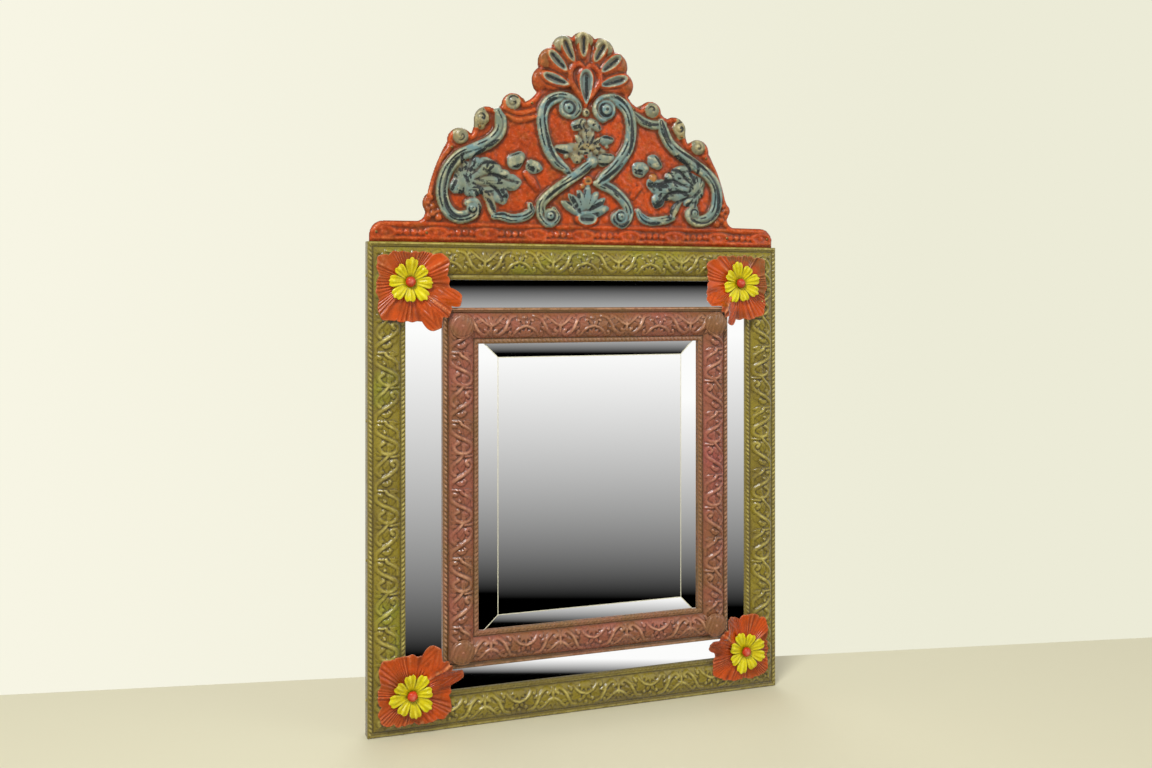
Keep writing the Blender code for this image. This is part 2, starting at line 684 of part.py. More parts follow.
# Base band: a lip along the top, long beads with rows of round ones between them
band_z = FRAME_Z + BAND_H / 2
lip_end = BAND_W / 2 - 14 * DRAWN
lip = [(-lip_end, FRAME_Z + BAND_H - 2 * DRAWN), (lip_end, FRAME_Z + BAND_H - 2 * DRAWN)]
relief.take(tube([(x, -(CREST_GROUND - SHEET / 4), z) for x, z in lip], RELIEF * 0.5, smooth=1))
long_beads = int((BAND_W / 2 - 8 * DRAWN) / BEAD_PITCH)
for k in range(-long_beads, long_beads + 1):
    relief.boss(k * BEAD_PITCH, band_z, 3.4 * DRAWN, 8 * DRAWN, RELIEF * 0.7, 0)
    for n in range(BEADS_BETWEEN if k < long_beads else 0):
        row = BEAD_PITCH - 2 * 8 * DRAWN
        x = k * BEAD_PITCH + 8 * DRAWN + row * (n + 0.5) / BEADS_BETWEEN
        relief.boss(x, band_z, 2.4 * DRAWN, 2.4 * DRAWN, RELIEF * 0.55, 0)


def pressed_sheet(name, x, z, axis, around, rings, hole, reach, depth, material):
    """A pressed sheet spread out round a middle hole: reach gives its edge for an angle from its axis,
    and depth gives its back for a place of the plan and a share of the way out."""
    bm = bmesh.new()
    bmesh.ops.create_grid(bm, x_segments=around, y_segments=rings, size=0.5)
    for vert in bm.verts:
        angle = (vert.co.x + 0.5) * math.tau
        share = vert.co.y + 0.5
        edge = min(reach(angle), to_inner_frame(x, z, axis + angle))
        radius = hole + (edge - hole) * share
        px = x + radius * math.cos(axis + angle)
        pz = z + radius * math.sin(axis + angle)
        vert.co = (px, -depth(px, pz, share), pz)
    bmesh.ops.remove_doubles(bm, verts=bm.verts, dist=0.001 * MM)
    bm.normal_update()
    if sum(face.normal.y for face in bm.faces) > 0:
        bmesh.ops.reverse_faces(bm, faces=bm.faces)
    obj = mesh_object(bm, name, material)
    solid = obj.modifiers.new("sheet", "SOLIDIFY")
    solid.thickness = SHEET
    solid.offset = 1
    return obj


def to_inner_frame(x, z, heading):
    """How far it is from a corner of the outer frame to the inner frame's edge on a heading."""
    inward_x = -math.cos(heading) * math.copysign(1, x)
    inward_z = -math.sin(heading) * math.copysign(1, z)
    if inward_x <= 0 or inward_z <= 0:
        return FRAME_W
    reach_x = (abs(x) - INNER_X - SPRAY_GAP) / inward_x
    reach_z = (abs(z) - INNER_Z - SPRAY_GAP) / inward_z
    return max(reach_x, reach_z)


def spray_reach(angle):
    """Edge of a leaf spray: round lobes, with two long leaves beside the inner frame's corner."""
    off_axis = min(angle, math.tau - angle)
    leaf = SPRAY_LEAF * math.exp(-((off_axis - math.radians(28)) / math.radians(18)) ** 2)
    lobe = abs(math.sin(angle * SPRAY_LOBES / 2)) ** 0.6
    return (SPRAY_R + leaf) * (0.86 + 0.14 * lobe)


def spray_depth(x, z, share):
    """A spray lies on the outer moulding's crown and climbs over the strips to the inner frame."""
    climb = min((OPEN_X - abs(x)) / STRIP_SIDE_W, (OPEN_Z - abs(z)) / STRIP_TOP_W)
    return SPRAY_BASE + (SPRAY_TIP - SPRAY_BASE) * min(max(climb, 0), 1) ** 2.5


def flower_reach(angle):
    return FLOWER_R * (0.72 + 0.28 * abs(math.cos(angle * PETALS / 2)) ** 0.6)


def flower_depth(x, z, share):
    return flower_back + FLOWER_CUP * share ** 1.5


# Corner sprays over the mitres, a flower on each, and a domed tack through both into the pine
tack_hole = TACK_SHANK + CLEARANCE
tack_places = []
for corner in CORNERS:
    x, z, axis = flower_place(corner)
    flower_back = spray_depth(x, z, 0) + SHEET + CLEARANCE + 0.6 * MM
    under_head = FLOWER_CUP * (TACK_HEAD / (FLOWER_R * 0.72)) ** 1.5
    tack_depth = flower_back + SHEET + CLEARANCE + under_head
    pressed_sheet(
        "corner_spray_" + corner, x, z, axis, SPRAY_LOBES * 3, SPRAY_RINGS, tack_hole, spray_reach,
        spray_depth, RED,
    )
    pressed_sheet("flower_" + corner, x, z, axis, PETALS * 3, 3, tack_hole, flower_reach, flower_depth, YELLOW)
    tack_length = tack_depth - TACK_POINT
    tack_places.append(facing_front(x, z, tack_depth))
    tack = turned(nail_profile(TACK_SHANK, TACK_HEAD, TACK_DOME, tack_length), 12)
    mesh_object(tack, "flower_tack_" + corner, RED).matrix_world = tack_places[-1]
tack_holes = rods("tack_holes", tack_places, tack_hole, -tack_length - CLEARANCE, tack_length)
for side in TURNS:
    cut(strip_beds[side], tack_holes)

# Rosettes over the inner frame's mitres, each with a pin through the mouldings into the rails
rosette_hole = PIN_SHANK + CLEARANCE
rosette_profile = [
    (rosette_hole, ROSETTE_H * 0.8), (ROSETTE_R * 0.3, ROSETTE_H), (ROSETTE_R * 0.42, ROSETTE_H * 0.7),
    (ROSETTE_R * 0.55, ROSETTE_H * 0.95), (ROSETTE_R * 0.85, ROSETTE_H * 0.6), (ROSETTE_R, 0),
    (rosette_hole, 0), (rosette_hole, ROSETTE_H * 0.8),
]
rosette_x, rosette_z = INNER_X - INNER_MOULDING_W / 2, INNER_Z - INNER_MOULDING_W / 2
rosette_back = INNER_CROWN + CLEARANCE
rosette_pin_length = ROSETTE_H + PIN_LENGTH
rosette_pin_places = []
for corner, (sign_x, sign_z) in CORNERS.items():
    x, z = sign_x * rosette_x, sign_z * rosette_z
    rosette = mesh_object(turned(rosette_profile, 16), "corner_rosette_" + corner, ROSE)
    rosette.matrix_world = facing_front(x, z, rosette_back)
    rosette_pin_places.append(facing_front(x, z, rosette_back + ROSETTE_H + CLEARANCE))
    pin = turned(nail_profile(PIN_SHANK, PIN_HEAD, PIN_DOME, rosette_pin_length), 10)
    mesh_object(pin, "rosette_pin_" + corner, BRASS).matrix_world = rosette_pin_places[-1]
rosette_holes = rods(
    "rosette_pin_holes", rosette_pin_places, rosette_hole, -rosette_pin_length - CLEARANCE, PIN_LENGTH
)
for side in TURNS:
    cut(inner_mouldings[side], rosette_holes)
    cut(inner_rails[side], rosette_holes)

# Hanger: a plate rolled into a knuckle at its foot, drawn as (height, depth) and extruded across
eye_outside = BACK_BOARD - RING_DEPTH
eye_inside = RING_WIRE + CLEARANCE
plate_face = eye_outside - PLATE
meets = math.atan2(plate_face, math.sqrt(eye_outside ** 2 - plate_face ** 2))
roll = math.radians(270) + meets
profile = [(PLATE_H, eye_outside), (PLATE_H, plate_face)]
for k in range(19):
    angle = meets - roll * k / 18
    profile.append((eye_outside * math.cos(angle), eye_outside * math.sin(angle)))
eye_angles = [math.tau * (k + 0.5) / 12 for k in range(12)]
eye = [(eye_inside * math.cos(angle), eye_inside * math.sin(angle)) for angle in eye_angles]
plate_bm = outline_solid([profile, eye], PLATE_W / 2)
stand = Matrix(((0, 0, 1, 0), (0, -1, 0, 0), (1, 0, 0, 0), (0, 0, 0, 1)))
bmesh.ops.transform(plate_bm, matrix=stand, verts=plate_bm.verts)
bmesh.ops.recalc_face_normals(plate_bm, faces=plate_bm.faces)
hanger_plate = mesh_object(plate_bm, "hanger_plate", STEEL)
hanger_plate.location = (0, -RING_DEPTH, HANGER_Z)

# Ring of round wire, shaped like a D, hanging from the knuckle; its origin is on the knuckle's axis
flat_half = RING_HALF_W - RING_CORNER
side_low = -RING_CORNER - RING_SIDE
corner_bulge = RING_CORNER * (1 - math.cos(math.radians(45)))
ring_path = round_outline([
    (flat_half, 0, 0), (-flat_half, 0, corner_bulge), (-RING_HALF_W, -RING_CORNER, 0),
    (-RING_HALF_W, side_low, RING_HALF_W * 0.29), (0, side_low - RING_HALF_W, RING_HALF_W * 0.29),
    (RING_HALF_W, side_low, 0), (RING_HALF_W, -RING_CORNER, corner_bulge),
])
hanger_ring = tube(
    [(x, 0, z) for x, z in ring_path], RING_WIRE, STEEL, "hanger_ring", cyclic=True, sides=2
)
hanger_ring.location = (0, -RING_DEPTH, HANGER_Z)

# Two round-headed screws through the plate into the crest board
screw_back = BACK_BOARD - PLATE - CLEARANCE
screw_places = [facing_back(0, HANGER_Z + PLATE_H * share, screw_back) for share in (0.35, 0.7)]
for name, place in zip(("lower", "upper"), screw_places):
    screw = turned(nail_profile(SCREW_SHANK, SCREW_HEAD, SCREW_HEAD_H, SCREW_LENGTH), 12)
    mesh_object(screw, "hanger_screw_" + name, STEEL).matrix_world = place
screw_hole = SCREW_SHANK + CLEARANCE
screw_holes = rods("screw_holes", screw_places, screw_hole, -SCREW_LENGTH - CLEARANCE, SCREW_LENGTH)
cut(hanger_plate, screw_holes)
cut(crest_board, screw_holes)

# Crest sheet: the pressed ground, with the raised work joined to it
crest_sheet = front_plate("crest_sheet", crest_sheet_outline(), CREST_GROUND - SHEET, SHEET, RED)
join = crest_sheet.modifiers.new("raise", "BOOLEAN")
join.operation = "UNION"
join.solver = "EXACT"
join.operand_type = "COLLECTION"
join.collection = relief_work
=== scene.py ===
import math
from functools import partial

import bpy
import numpy as np
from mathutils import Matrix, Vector


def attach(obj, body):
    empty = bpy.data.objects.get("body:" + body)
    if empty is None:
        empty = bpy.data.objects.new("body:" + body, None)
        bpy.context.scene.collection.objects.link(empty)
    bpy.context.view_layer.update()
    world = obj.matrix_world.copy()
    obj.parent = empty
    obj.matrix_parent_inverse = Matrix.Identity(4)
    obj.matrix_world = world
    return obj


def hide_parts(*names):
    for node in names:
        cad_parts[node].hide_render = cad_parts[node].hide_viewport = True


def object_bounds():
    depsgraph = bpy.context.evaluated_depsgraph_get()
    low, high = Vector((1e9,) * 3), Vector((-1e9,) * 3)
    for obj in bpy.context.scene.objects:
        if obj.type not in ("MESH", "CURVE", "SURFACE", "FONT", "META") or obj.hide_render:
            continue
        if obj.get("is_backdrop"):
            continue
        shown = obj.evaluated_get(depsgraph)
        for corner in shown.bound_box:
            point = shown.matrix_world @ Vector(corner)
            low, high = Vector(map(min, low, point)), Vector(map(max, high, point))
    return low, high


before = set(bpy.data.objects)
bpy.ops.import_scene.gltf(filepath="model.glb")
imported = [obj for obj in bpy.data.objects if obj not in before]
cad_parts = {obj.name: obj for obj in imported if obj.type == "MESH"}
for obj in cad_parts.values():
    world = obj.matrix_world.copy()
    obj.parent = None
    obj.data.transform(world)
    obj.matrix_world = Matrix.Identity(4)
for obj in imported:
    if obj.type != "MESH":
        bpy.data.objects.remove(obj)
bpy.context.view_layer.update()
scene = bpy.context.scene
scene.view_settings.view_transform = "Standard"


# Pine carcase: back board, crest board, rails, wedges under the strips, glass panel and fillets. Bare
# softwood, sawn and darkened with age, nailed together. The nodes keep their shape and get wood.
UPRIGHTS, LEVELS = ("left", "right"), ("top", "bottom")
SIDES = ("right", "top", "left", "bottom")
GRAIN_ACROSS, GRAIN_ALONG, FIBRES_PER_GRAIN = 60.0, 4.0, 9


def srgb(red, green, blue):
    """Colour on the 0 to 255 scale as linear values."""
    values = []
    for part in (red, green, blue):
        share = part / 255
        values.append(share / 12.92 if share <= 0.04045 else ((share + 0.055) / 1.055) ** 2.4)
    return (*values, 1.0)


def feed(tree, target, inputs):
    """Sets a node's inputs, each by its name or number, to a value or to the output that drives it."""
    for key, value in inputs.items():
        socket = target.inputs[key.replace("_", " ") if isinstance(key, str) else key]
        if isinstance(value, bpy.types.NodeSocket):
            tree.links.new(value, socket)
        else:
            socket.default_value = value


def node(tree, kind, settings=None, out=0, **inputs):
    """Adds a shader node with its settings and inputs, and returns one of its outputs."""
    made = tree.nodes.new(kind)
    for key, value in (settings or {}).items():
        setattr(made, key, value)
    feed(tree, made, inputs)
    return made.outputs[out]


def mix(tree, share, first, second):
    """The first colour, with a share of the second laid over it."""
    return node(tree, "ShaderNodeMixRGB", Fac=share, Color1=first, Color2=second)


def spread(tree, value, low, high, to_low=0.0, to_high=1.0):
    """Maps a value from one range onto another, clamped."""
    return node(
        tree, "ShaderNodeMapRange", Value=value, From_Min=low, From_Max=high, To_Min=to_low, To_Max=to_high
    )


def worked_out(tree, operation, first, second):
    """One value from two."""
    result = node(tree, "ShaderNodeMath", {"operation": operation})
    feed(tree, result.node, {0: first, 1: second})
    return result


def times(tree, first, second):
    return worked_out(tree, "MULTIPLY", first, second)


def noise(tree, scale, detail=4.0, rough=0.55, vector=None):
    """Noise in the object's own metres."""
    if vector is None:
        vector = node(tree, "ShaderNodeTexCoord", out=3)
    return node(tree, "ShaderNodeTexNoise", Vector=vector, Scale=scale, Detail=detail, Roughness=rough)


def new_material(name):
    """A material with its node tree and its shader."""
    material = bpy.data.materials.new(name)
    material.use_nodes = True
    return material, material.node_tree, material.node_tree.nodes["Principled BSDF"]


def bump(tree, shader, height, strength, distance):
    """Fine unevenness of a surface, its distance in metres."""
    feed(tree, shader, {
        "Normal": node(tree, "ShaderNodeBump", Height=height, Strength=strength, Distance=distance),
    })


def pine_material(name, along):
    """Aged pine with its grain along one axis."""
    material, tree, shader = new_material(name)
    place = node(tree, "ShaderNodeTexCoord", out=3)
    stretch = [GRAIN_ACROSS] * 3
    stretch[along] = GRAIN_ALONG
    fine = [part * FIBRES_PER_GRAIN for part in stretch]
    grain = noise(tree, 1.0, 8.0, 0.62, node(tree, "ShaderNodeMapping", Vector=place, Scale=stretch))
    fibre = noise(tree, 1.0, 3.0, 0.6, node(tree, "ShaderNodeMapping", Vector=place, Scale=fine))
    dirt = noise(tree, 14.0, 5.0)
    wood = mix(tree, spread(tree, grain, 0.35, 0.66), srgb(176, 133, 84), srgb(122, 82, 46))
    wood = mix(tree, spread(tree, fibre, 0.5, 0.75, 0.0, 0.45), wood, srgb(84, 56, 33))
    wood = mix(tree, spread(tree, dirt, 0.5, 0.8, 0.0, 0.6), wood, srgb(74, 56, 40))
    feed(tree, shader, {
        "Base Color": wood,
        "Roughness": spread(tree, grain, 0.3, 0.7, 0.62, 0.86),
    })
    bump(tree, shader, times(tree, grain, fibre), 0.5, 0.0006)
    return material


PINE_UP = pine_material("pine_grain_up", 2)
PINE_ACROSS = pine_material("pine_grain_across", 0)
PINE_NODES = ["back_board", "crest_board", "glass_back_panel"]
for piece in ("outer_rail_", "inner_rail_", "strip_bed_", "glass_fillet_"):
    PINE_NODES += [piece + side for side in SIDES]


def dress_node(name, material):
    """Gives a node of the frame its material; its shape stays."""
    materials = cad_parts[name].data.materials
    materials.clear()
    materials.append(material)


for name in PINE_NODES:
    across = name.endswith(LEVELS) or name == "crest_board"
    dress_node(name, PINE_ACROSS if across else PINE_UP)


# Outer mouldings: four channels of thin sheet pressed with a vine between two rope borders, painted
# olive, with wear to the metal and painted highlights on the high spots, and dirt and painted shade in the
# hollows. They wrap the pine rails and are pinned at the sides.
MM = 0.001
FRAME_X, FRAME_Z = 203.0, 218.0
OUTER_W = 33.5
BEAD_W, BEAD_RISE = 4.6, 1.2
ROPE_PITCH, ROPE_RISE, ROPE_SINK = 4.1, 0.9, 0.5
VINE_RISE, VINE_SINK = 1.95, 0.75
PRESS_STEP = 0.75


def bump_at(distance, half_width):
    """Round cross-section of a raised line: 1 on its middle, 0 beyond its half width."""
    return np.sqrt(np.clip(1 - (distance / half_width) ** 2, 0, 1))


def petal(a, b, root, angle, long, broad):
    """A raised petal from its root in a direction, with a crease along its middle."""
    along = (a - root[0]) * math.cos(angle) + (b - root[1]) * math.sin(angle)
    off = -(a - root[0]) * math.sin(angle) + (b - root[1]) * math.cos(angle)
    share = np.clip(along / long, 0, 1)
    width = broad * np.sin(np.pi * share ** 0.7) + 1e-6
    inside = (along > 0) & (along < long)
    body = np.where(inside, np.sqrt(np.clip(1 - (off / width) ** 2, 0, 1)), 0)
    return body * (1 - 0.35 * np.exp(-(off / (0.28 * broad)) ** 2))


def to_line(x, y, line, closed=False):
    """Distance from points to a line of points, and the length along the line of the nearest place."""
    ends = np.roll(line, -1, axis=0) if closed else line[1:]
    starts = line if closed else line[:-1]
    best = np.full(x.shape, 1e9)
    place = np.zeros(x.shape)
    done = 0.0
    for (x0, y0), (x1, y1) in zip(starts, ends):
        length = math.hypot(x1 - x0, y1 - y0)
        if length < 1e-9:
            continue
        share = np.clip(((x - x0) * (x1 - x0) + (y - y0) * (y1 - y0)) / length ** 2, 0, 1)
        distance = np.hypot(x - x0 - share * (x1 - x0), y - y0 - share * (y1 - y0))
        nearer = distance < best
        best = np.where(nearer, distance, best)
        place = np.where(nearer, done + share * length, place)
        done += length
    return best, place


def curve_through(knots, steps=8):
    """A smooth line through knots."""
    knots = np.array(knots, dtype=float)
    padded = np.concatenate([2 * knots[:1] - knots[1:2], knots, 2 * knots[-1:] - knots[-2:-1]])
    points = []
    for k in range(len(knots) - 1):
        a, b, c, d = padded[k:k + 4]
        for t in np.arange(steps) / steps:
            points.append(0.5 * (2 * b + (c - a) * t + (2 * a - 5 * b + 4 * c - d) * t ** 2
                                 + (3 * b - a - 3 * c + d) * t ** 3))
    return np.array(points + [knots[-1]])


def softened(values, reach):
    """The values averaged over their neighbours on the grid."""
    result = values
    for axis in (0, 1):
        total = sum(np.roll(result, shift, axis=axis) for shift in range(-reach, reach + 1))
        result = total / (2 * reach + 1)
    return result


# The dies' drawings in mm: length along the moulding and height across it, as stems, dots and petals. The
# level die is mirrored at each palmette, with a tulip halfway; the upright one repeats its S-scrolls.
LEVEL_DIE = (32.6, True, [
    ([(0, -0.6), (6, -2.8), (10, -6.2), (12.4, -9.2), (15.4, -8.6), (14.8, -6.0)], 1.5),
    ([(9.2, 9.0), (14.2, 7.0), (17.6, 1.0), (20.6, -4.6), (26, -8.6), (30, -6.4), (27.6, -4.2)], 1.8),
    ([(32.6, -0.4), (27.6, 2.4), (23.4, 6.2), (19.8, 8.8), (17.8, 6.6)], 1.55),
    ([(32.6, 2.0), (32.6, -5.4)], 1.5),
], [
    (0, 7.2, 2.0), (6.4, 4.6, 1.9), (18.4, 6.8, 1.8), (27.8, -4.6, 1.8), (14.4, -6.6, 1.7), (9.4, 8.8, 1.8),
], [
    (0, -11.0, 90, 9.6, 2.1), (0.4, -10.8, 58, 9.0, 2.0), (0.8, -10.6, 28, 8.0, 1.8),
    (32.6, -3.8, 270, 7.4, 2.0), (32.2, -3.9, 228, 7.4, 1.9), (1.0, 0.0, 58, 6.4, 1.8),
    (18.6, 2.4, 18, 8.0, 2.0), (20.6, -4.2, 158, 7.4, 2.0), (32.6, 1.6, 90, 8.4, 2.2),
    (32.0, 1.6, 128, 7.6, 1.8), (5.0, -1.0, 24, 11.0, 3.8), (20.0, 6.0, 262, 12.0, 3.6),
    (30.0, -1.0, 172, 10.0, 3.4), (25.0, 8.0, 310, 9.0, 3.4), (8.0, -9.0, 60, 10.0, 3.2),
])
UPRIGHT_DIE = (60.4, False, [
    ([(-1.5, -10.4), (4, -9.8), (9, -4.4), (13, 2.4), (17, 8.0), (21.5, 9.8), (25, 6.6), (23, 3.6),
      (20.6, 5.6)], 1.9),
    ([(12, -6.4), (16, -9.4), (21, -7.6), (26, -2.6), (30, 0.6)], 1.6),
    ([(41, -3.6), (37.6, -7.6), (32.6, -5.0), (31, 2.2), (33.6, 8.4), (39, 8.4), (43.4, 2.0), (47, -5.2),
      (51.4, -10.2), (55.6, -9.0), (55.4, -5.8)], 1.9),
    ([(45, 9.6), (50, 9.2), (53.6, 5.0), (57, -0.4), (60.5, -2.0)], 1.6),
    ([(28.6, 2.6), (28.6, 11.4)], 1.2),
    ([(59.4, -11.4), (59.4, -4.0)], 1.2),
], [
    (20.8, 5.4, 2.1), (12.2, -6.2, 1.9), (41, -3.8, 2.1), (55.4, -6.0, 2.0), (45, 9.8, 1.9), (7, 2.6, 1.8),
    (50, -2.6, 1.7),
], [
    (37, 1.2, 180, 6.6, 2.0), (38.4, -0.6, 100, 6.0, 1.9), (3, -3.0, 62, 9.5, 2.1), (5, -5.0, 95, 8.5, 1.9),
    (59, 1.6, 60, 9.0, 2.0), (58.4, 2.0, 95, 8.6, 2.0), (57.6, 2.0, 128, 8.6, 1.9), (26, 1.0, 205, 9.0, 2.0),
    (44, -7.0, 190, 7.5, 1.9), (16, -2.6, 250, 6.5, 1.8), (28, -4.6, 260, 6.5, 1.9), (30, -5.0, 300, 6.0, 1.7),
    (7.0, 7.0, 345, 12.0, 3.8), (27.0, -1.5, 172, 13.0, 4.2), (42.0, 4.6, 205, 11.0, 3.8),
    (57.0, 6.0, 196, 12.0, 3.8), (36.0, -8.6, 8, 12.0, 3.4), (12.0, -8.6, 16, 12.0, 3.2),
])


def vine(s, v, die, flip):
    """Height, 0 to 1, of the pressed vine at a length s along the moulding and v across it, in mm."""
    length, mirrored, stems, dots, petals = die
    b = v * flip + 0.35 * np.sin(s / 8.3)
    height = np.zeros_like(s)
    for shift in ((0,) if mirrored else (0, length)):
        a = np.abs((s + length) % (2 * length) - length) if mirrored else s % length - shift
        for knots, width in stems:
            height = np.maximum(height, bump_at(to_line(a, b, curve_through(knots, 5))[0], width))
        for x, y, radius in dots:
            height = np.maximum(height, bump_at(np.hypot(a - x, b - y), radius))
        for x, y, angle, long, broad in petals:
            peak = 0.85 if broad < 3 else 0.48
            height = np.maximum(height, peak * petal(a, b, (x, y), math.radians(angle), long, broad))
    return height


def moulding_points(width, feet, beads, crown, edge, half_length, die, rope, flip):
    """Front of a mitred moulding as a grid: outward, along, depth in mm, and masks of ridges, hollows
    and borders. feet, beads and rope hold a value for the outer and one for the inner edge."""
    skirt, q, share = np.linspace(0, 1, 6)[:-1], np.linspace(0, 1, 13), np.linspace(0, 1, 40)[1:-1]

    def column(*parts):
        """Values across the moulding: outer skirt, outer bead, field, inner bead and inner skirt."""
        return np.concatenate([part + 0 * at for part, at in zip(parts, (skirt, q, share, q, skirt))])[:, None]

    outer_low, inner_low = beads[0] - BEAD_RISE, beads[1] - BEAD_RISE
    bead_form = BEAD_RISE * np.sin(np.pi * q) ** 0.7
    rise = crown - (beads[0] + beads[1]) / 2 + BEAD_RISE
    arch = outer_low + (beads[1] - beads[0]) * share + rise * np.sin(np.pi * share) ** 0.6
    u = column(0, BEAD_W * q, BEAD_W + (width - 2 * BEAD_W) * share, width - BEAD_W + BEAD_W * q, width)
    depth = column(feet[0] + (outer_low - feet[0]) * skirt, outer_low + bead_form, arch, inner_low + bead_form,
                   inner_low + (feet[1] - beads[1] + BEAD_RISE) * (1 - skirt[::-1]))
    field = column(0, 0, np.sin(np.pi * share) ** 0.3, 0, 0)
    strand, fillet = np.sin(np.pi * q), np.exp(-((q - 0.62) / 0.16) ** 2)
    on_rope = column(0, rope[0] * strand, 0, rope[1] * strand, 0)
    plain = column(0, (1 - rope[0]) * fillet, 0, (1 - rope[1]) * fillet[::-1], 0)
    border = column(1, 1, 0, 1, 1)
    across = column(0, q, 0, -q, 0)
    along = np.linspace(-1, 1, int(half_length * 2 / PRESS_STEP))[None, :] * (half_length - u)
    v = u - width / 2 + 0 * along
    relief = vine(along, v, die, flip) * field
    twist = (0.5 + 0.5 * np.cos(math.tau * (along / ROPE_PITCH + across * 0.9))) ** 0.7
    wander = 0.12 * np.sin(along / 17 + v) * np.sin(along / 41 + 1.3)
    deep = depth + field * (VINE_RISE * relief - VINE_SINK) + on_rope * (ROPE_RISE * twist - ROPE_SINK)
    deep = deep + wander * (field + on_rope) - 0.5 * plain
    # Ridges take wear and a painted highlight: tops of the vine, rope strands, and two lines along each plain
    # bead
    ridges = np.maximum(relief ** 5 * field, (on_rope * twist) ** 2)
    ridges = np.maximum(ridges, 0.7 * (border - on_rope) * np.exp(-((np.abs(across) - 0.3) / 0.14) ** 2))
    # Hollows take dirt and painted shade: feet of the vine, rope grooves, seams beside the beads and the
    # fillets
    sunk = np.clip(np.clip(softened(relief, 2) - relief, 0, 1) * 3.8, 0, 1)
    seams = np.exp(-(np.abs(u - BEAD_W) / 0.8) ** 2) + np.exp(-(np.abs(u - width + BEAD_W) / 0.8) ** 2)
    hollows = np.maximum(sunk * field, on_rope * (1 - twist) ** 2)
    hollows = np.maximum(hollows, 0.85 * (seams + 0.6 * plain))
    return edge - u + 0 * along, along, deep, ridges, hollows, border + 0 * along


def add_mesh(name, points, faces, masks, body, material, nodes):
    """A smooth piece from points in metres; its masks are stored as the colour attribute paint."""
    mesh = bpy.data.meshes.new(name)
    mesh.from_pydata(points.tolist(), [], faces.tolist())
    mesh.polygons.foreach_set("use_smooth", np.ones(len(mesh.polygons), dtype=bool))
    if masks is not None:
        colour = mesh.attributes.new("paint", "FLOAT_COLOR", "POINT")
        values = np.zeros((len(points), 4), dtype=np.float32)
        for k, mask in enumerate(masks):
            values[:, k] = np.clip(mask, 0, 1)
        colour.data.foreach_set("color", values.ravel())
    mesh.materials.append(material)
    piece = bpy.data.objects.new(name, mesh)
    scene.collection.objects.link(piece)
    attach(piece, body)
    if nodes:
        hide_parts(*nodes)
    return piece


def grid_faces(rows, columns, wrap=False):
    """Quads of a grid of points, row after row; with wrap, the last column joins the first."""
    index = np.arange(rows * columns).reshape(rows, columns)
    if wrap:
        index = np.concatenate([index, index[:, :1]], axis=1)
    return np.stack([index[:-1, :-1], index[:-1, 1:], index[1:, 1:], index[1:, :-1]], axis=-1).reshape(-1, 4)


def facing(points, faces):
    """The faces, turned so that on the whole they look to the front."""
    first, second, third = (points[faces[:, k]] for k in range(3))
    normal = np.cross(second - first, third - first)
    return faces if normal[:, 1].sum() < 0 else faces[:, ::-1]


def on_side(side, out, along, deep):
    """Points of the grid on one side of the frame, in metres."""
    if side in UPRIGHTS:
        sign = 1 if side == "right" else -1
        return np.stack([sign * out, -deep, along], axis=-1).reshape(-1, 3) * MM
    sign = 1 if side == "top" else -1
    return np.stack([along, -deep, sign * out], axis=-1).reshape(-1, 3) * MM


def pressed_paint(name, paint, patch, stain, rub_and_highlight, dirt, edging, gloss):
    """Old paint on pressed sheet: wear and painted highlight on the ridges, dirt and painted shade in the
    hollows.
    The attribute paint holds ridges, hollows and borders.
    """
    material, tree, shader = new_material(name)
    mask = node(tree, "ShaderNodeAttribute", {"attribute_name": "paint"})
    ridges = node(tree, "ShaderNodeSeparateColor", Color=mask)
    hollows, borders = ridges.node.outputs[1:]
    clouds = noise(tree, 23.0, 5.0)
    stains = noise(tree, 11.0, 4.0)
    specks = noise(tree, 420.0, 3.0, 0.7)
    wear = noise(tree, 130.0, 5.0, 0.65)
    colour = mix(tree, spread(tree, clouds, 0.42, 0.60), paint, patch)
    colour = mix(tree, spread(tree, stains, 0.55, 0.70, 0.0, 0.8), colour, stain)
    colour = mix(tree, times(tree, borders, spread(tree, clouds, 0.36, 0.62, 0.45, 0.95)), colour, edging)
    colour = mix(tree, spread(tree, specks, 0.54, 0.76, 0.0, 0.4), colour, dirt)
    # Painted shade, with some dirt, in the hollows
    colour = mix(tree, times(tree, hollows, spread(tree, wear, 0.25, 0.7, 0.45, 1.0)), colour, dirt)
    # Wear to the metal and painted highlight on the ridges
    wear_and_highlight = times(tree, ridges, spread(tree, wear, 0.40, 0.64, 0.1, 0.9))
    colour = mix(tree, wear_and_highlight, colour, rub_and_highlight)
    feed(tree, shader, {
        "Base Color": colour,
        "Metallic": times(tree, wear_and_highlight, 0.3),
        "Roughness": spread(tree, wear, 0.3, 0.75, gloss - 0.08, gloss + 0.16),
        "Specular IOR Level": 0.5,
    })
    bump(tree, shader, times(tree, specks, wear), 0.35, 0.0005)
    return material


def press_side(name, side, reach, width, feet, beads, crown, rope, material, node_name):
    """One moulding of a frame that reaches so far sideways and up, in the place of its node."""
    upright = side in UPRIGHTS
    edge, half_length = reach if upright else reach[::-1]
    die, flip = (UPRIGHT_DIE, 1) if upright else (LEVEL_DIE, -1)
    grid = moulding_points(width, feet, beads, crown, edge, half_length, die, rope, flip)
    points = on_side(side, *grid[:3])
    faces = facing(points, grid_faces(*grid[0].shape))
    masks = [mask.ravel() for mask in grid[3:]]
    return add_mesh(name + side, points, faces, masks, "frame", material, [node_name + side])


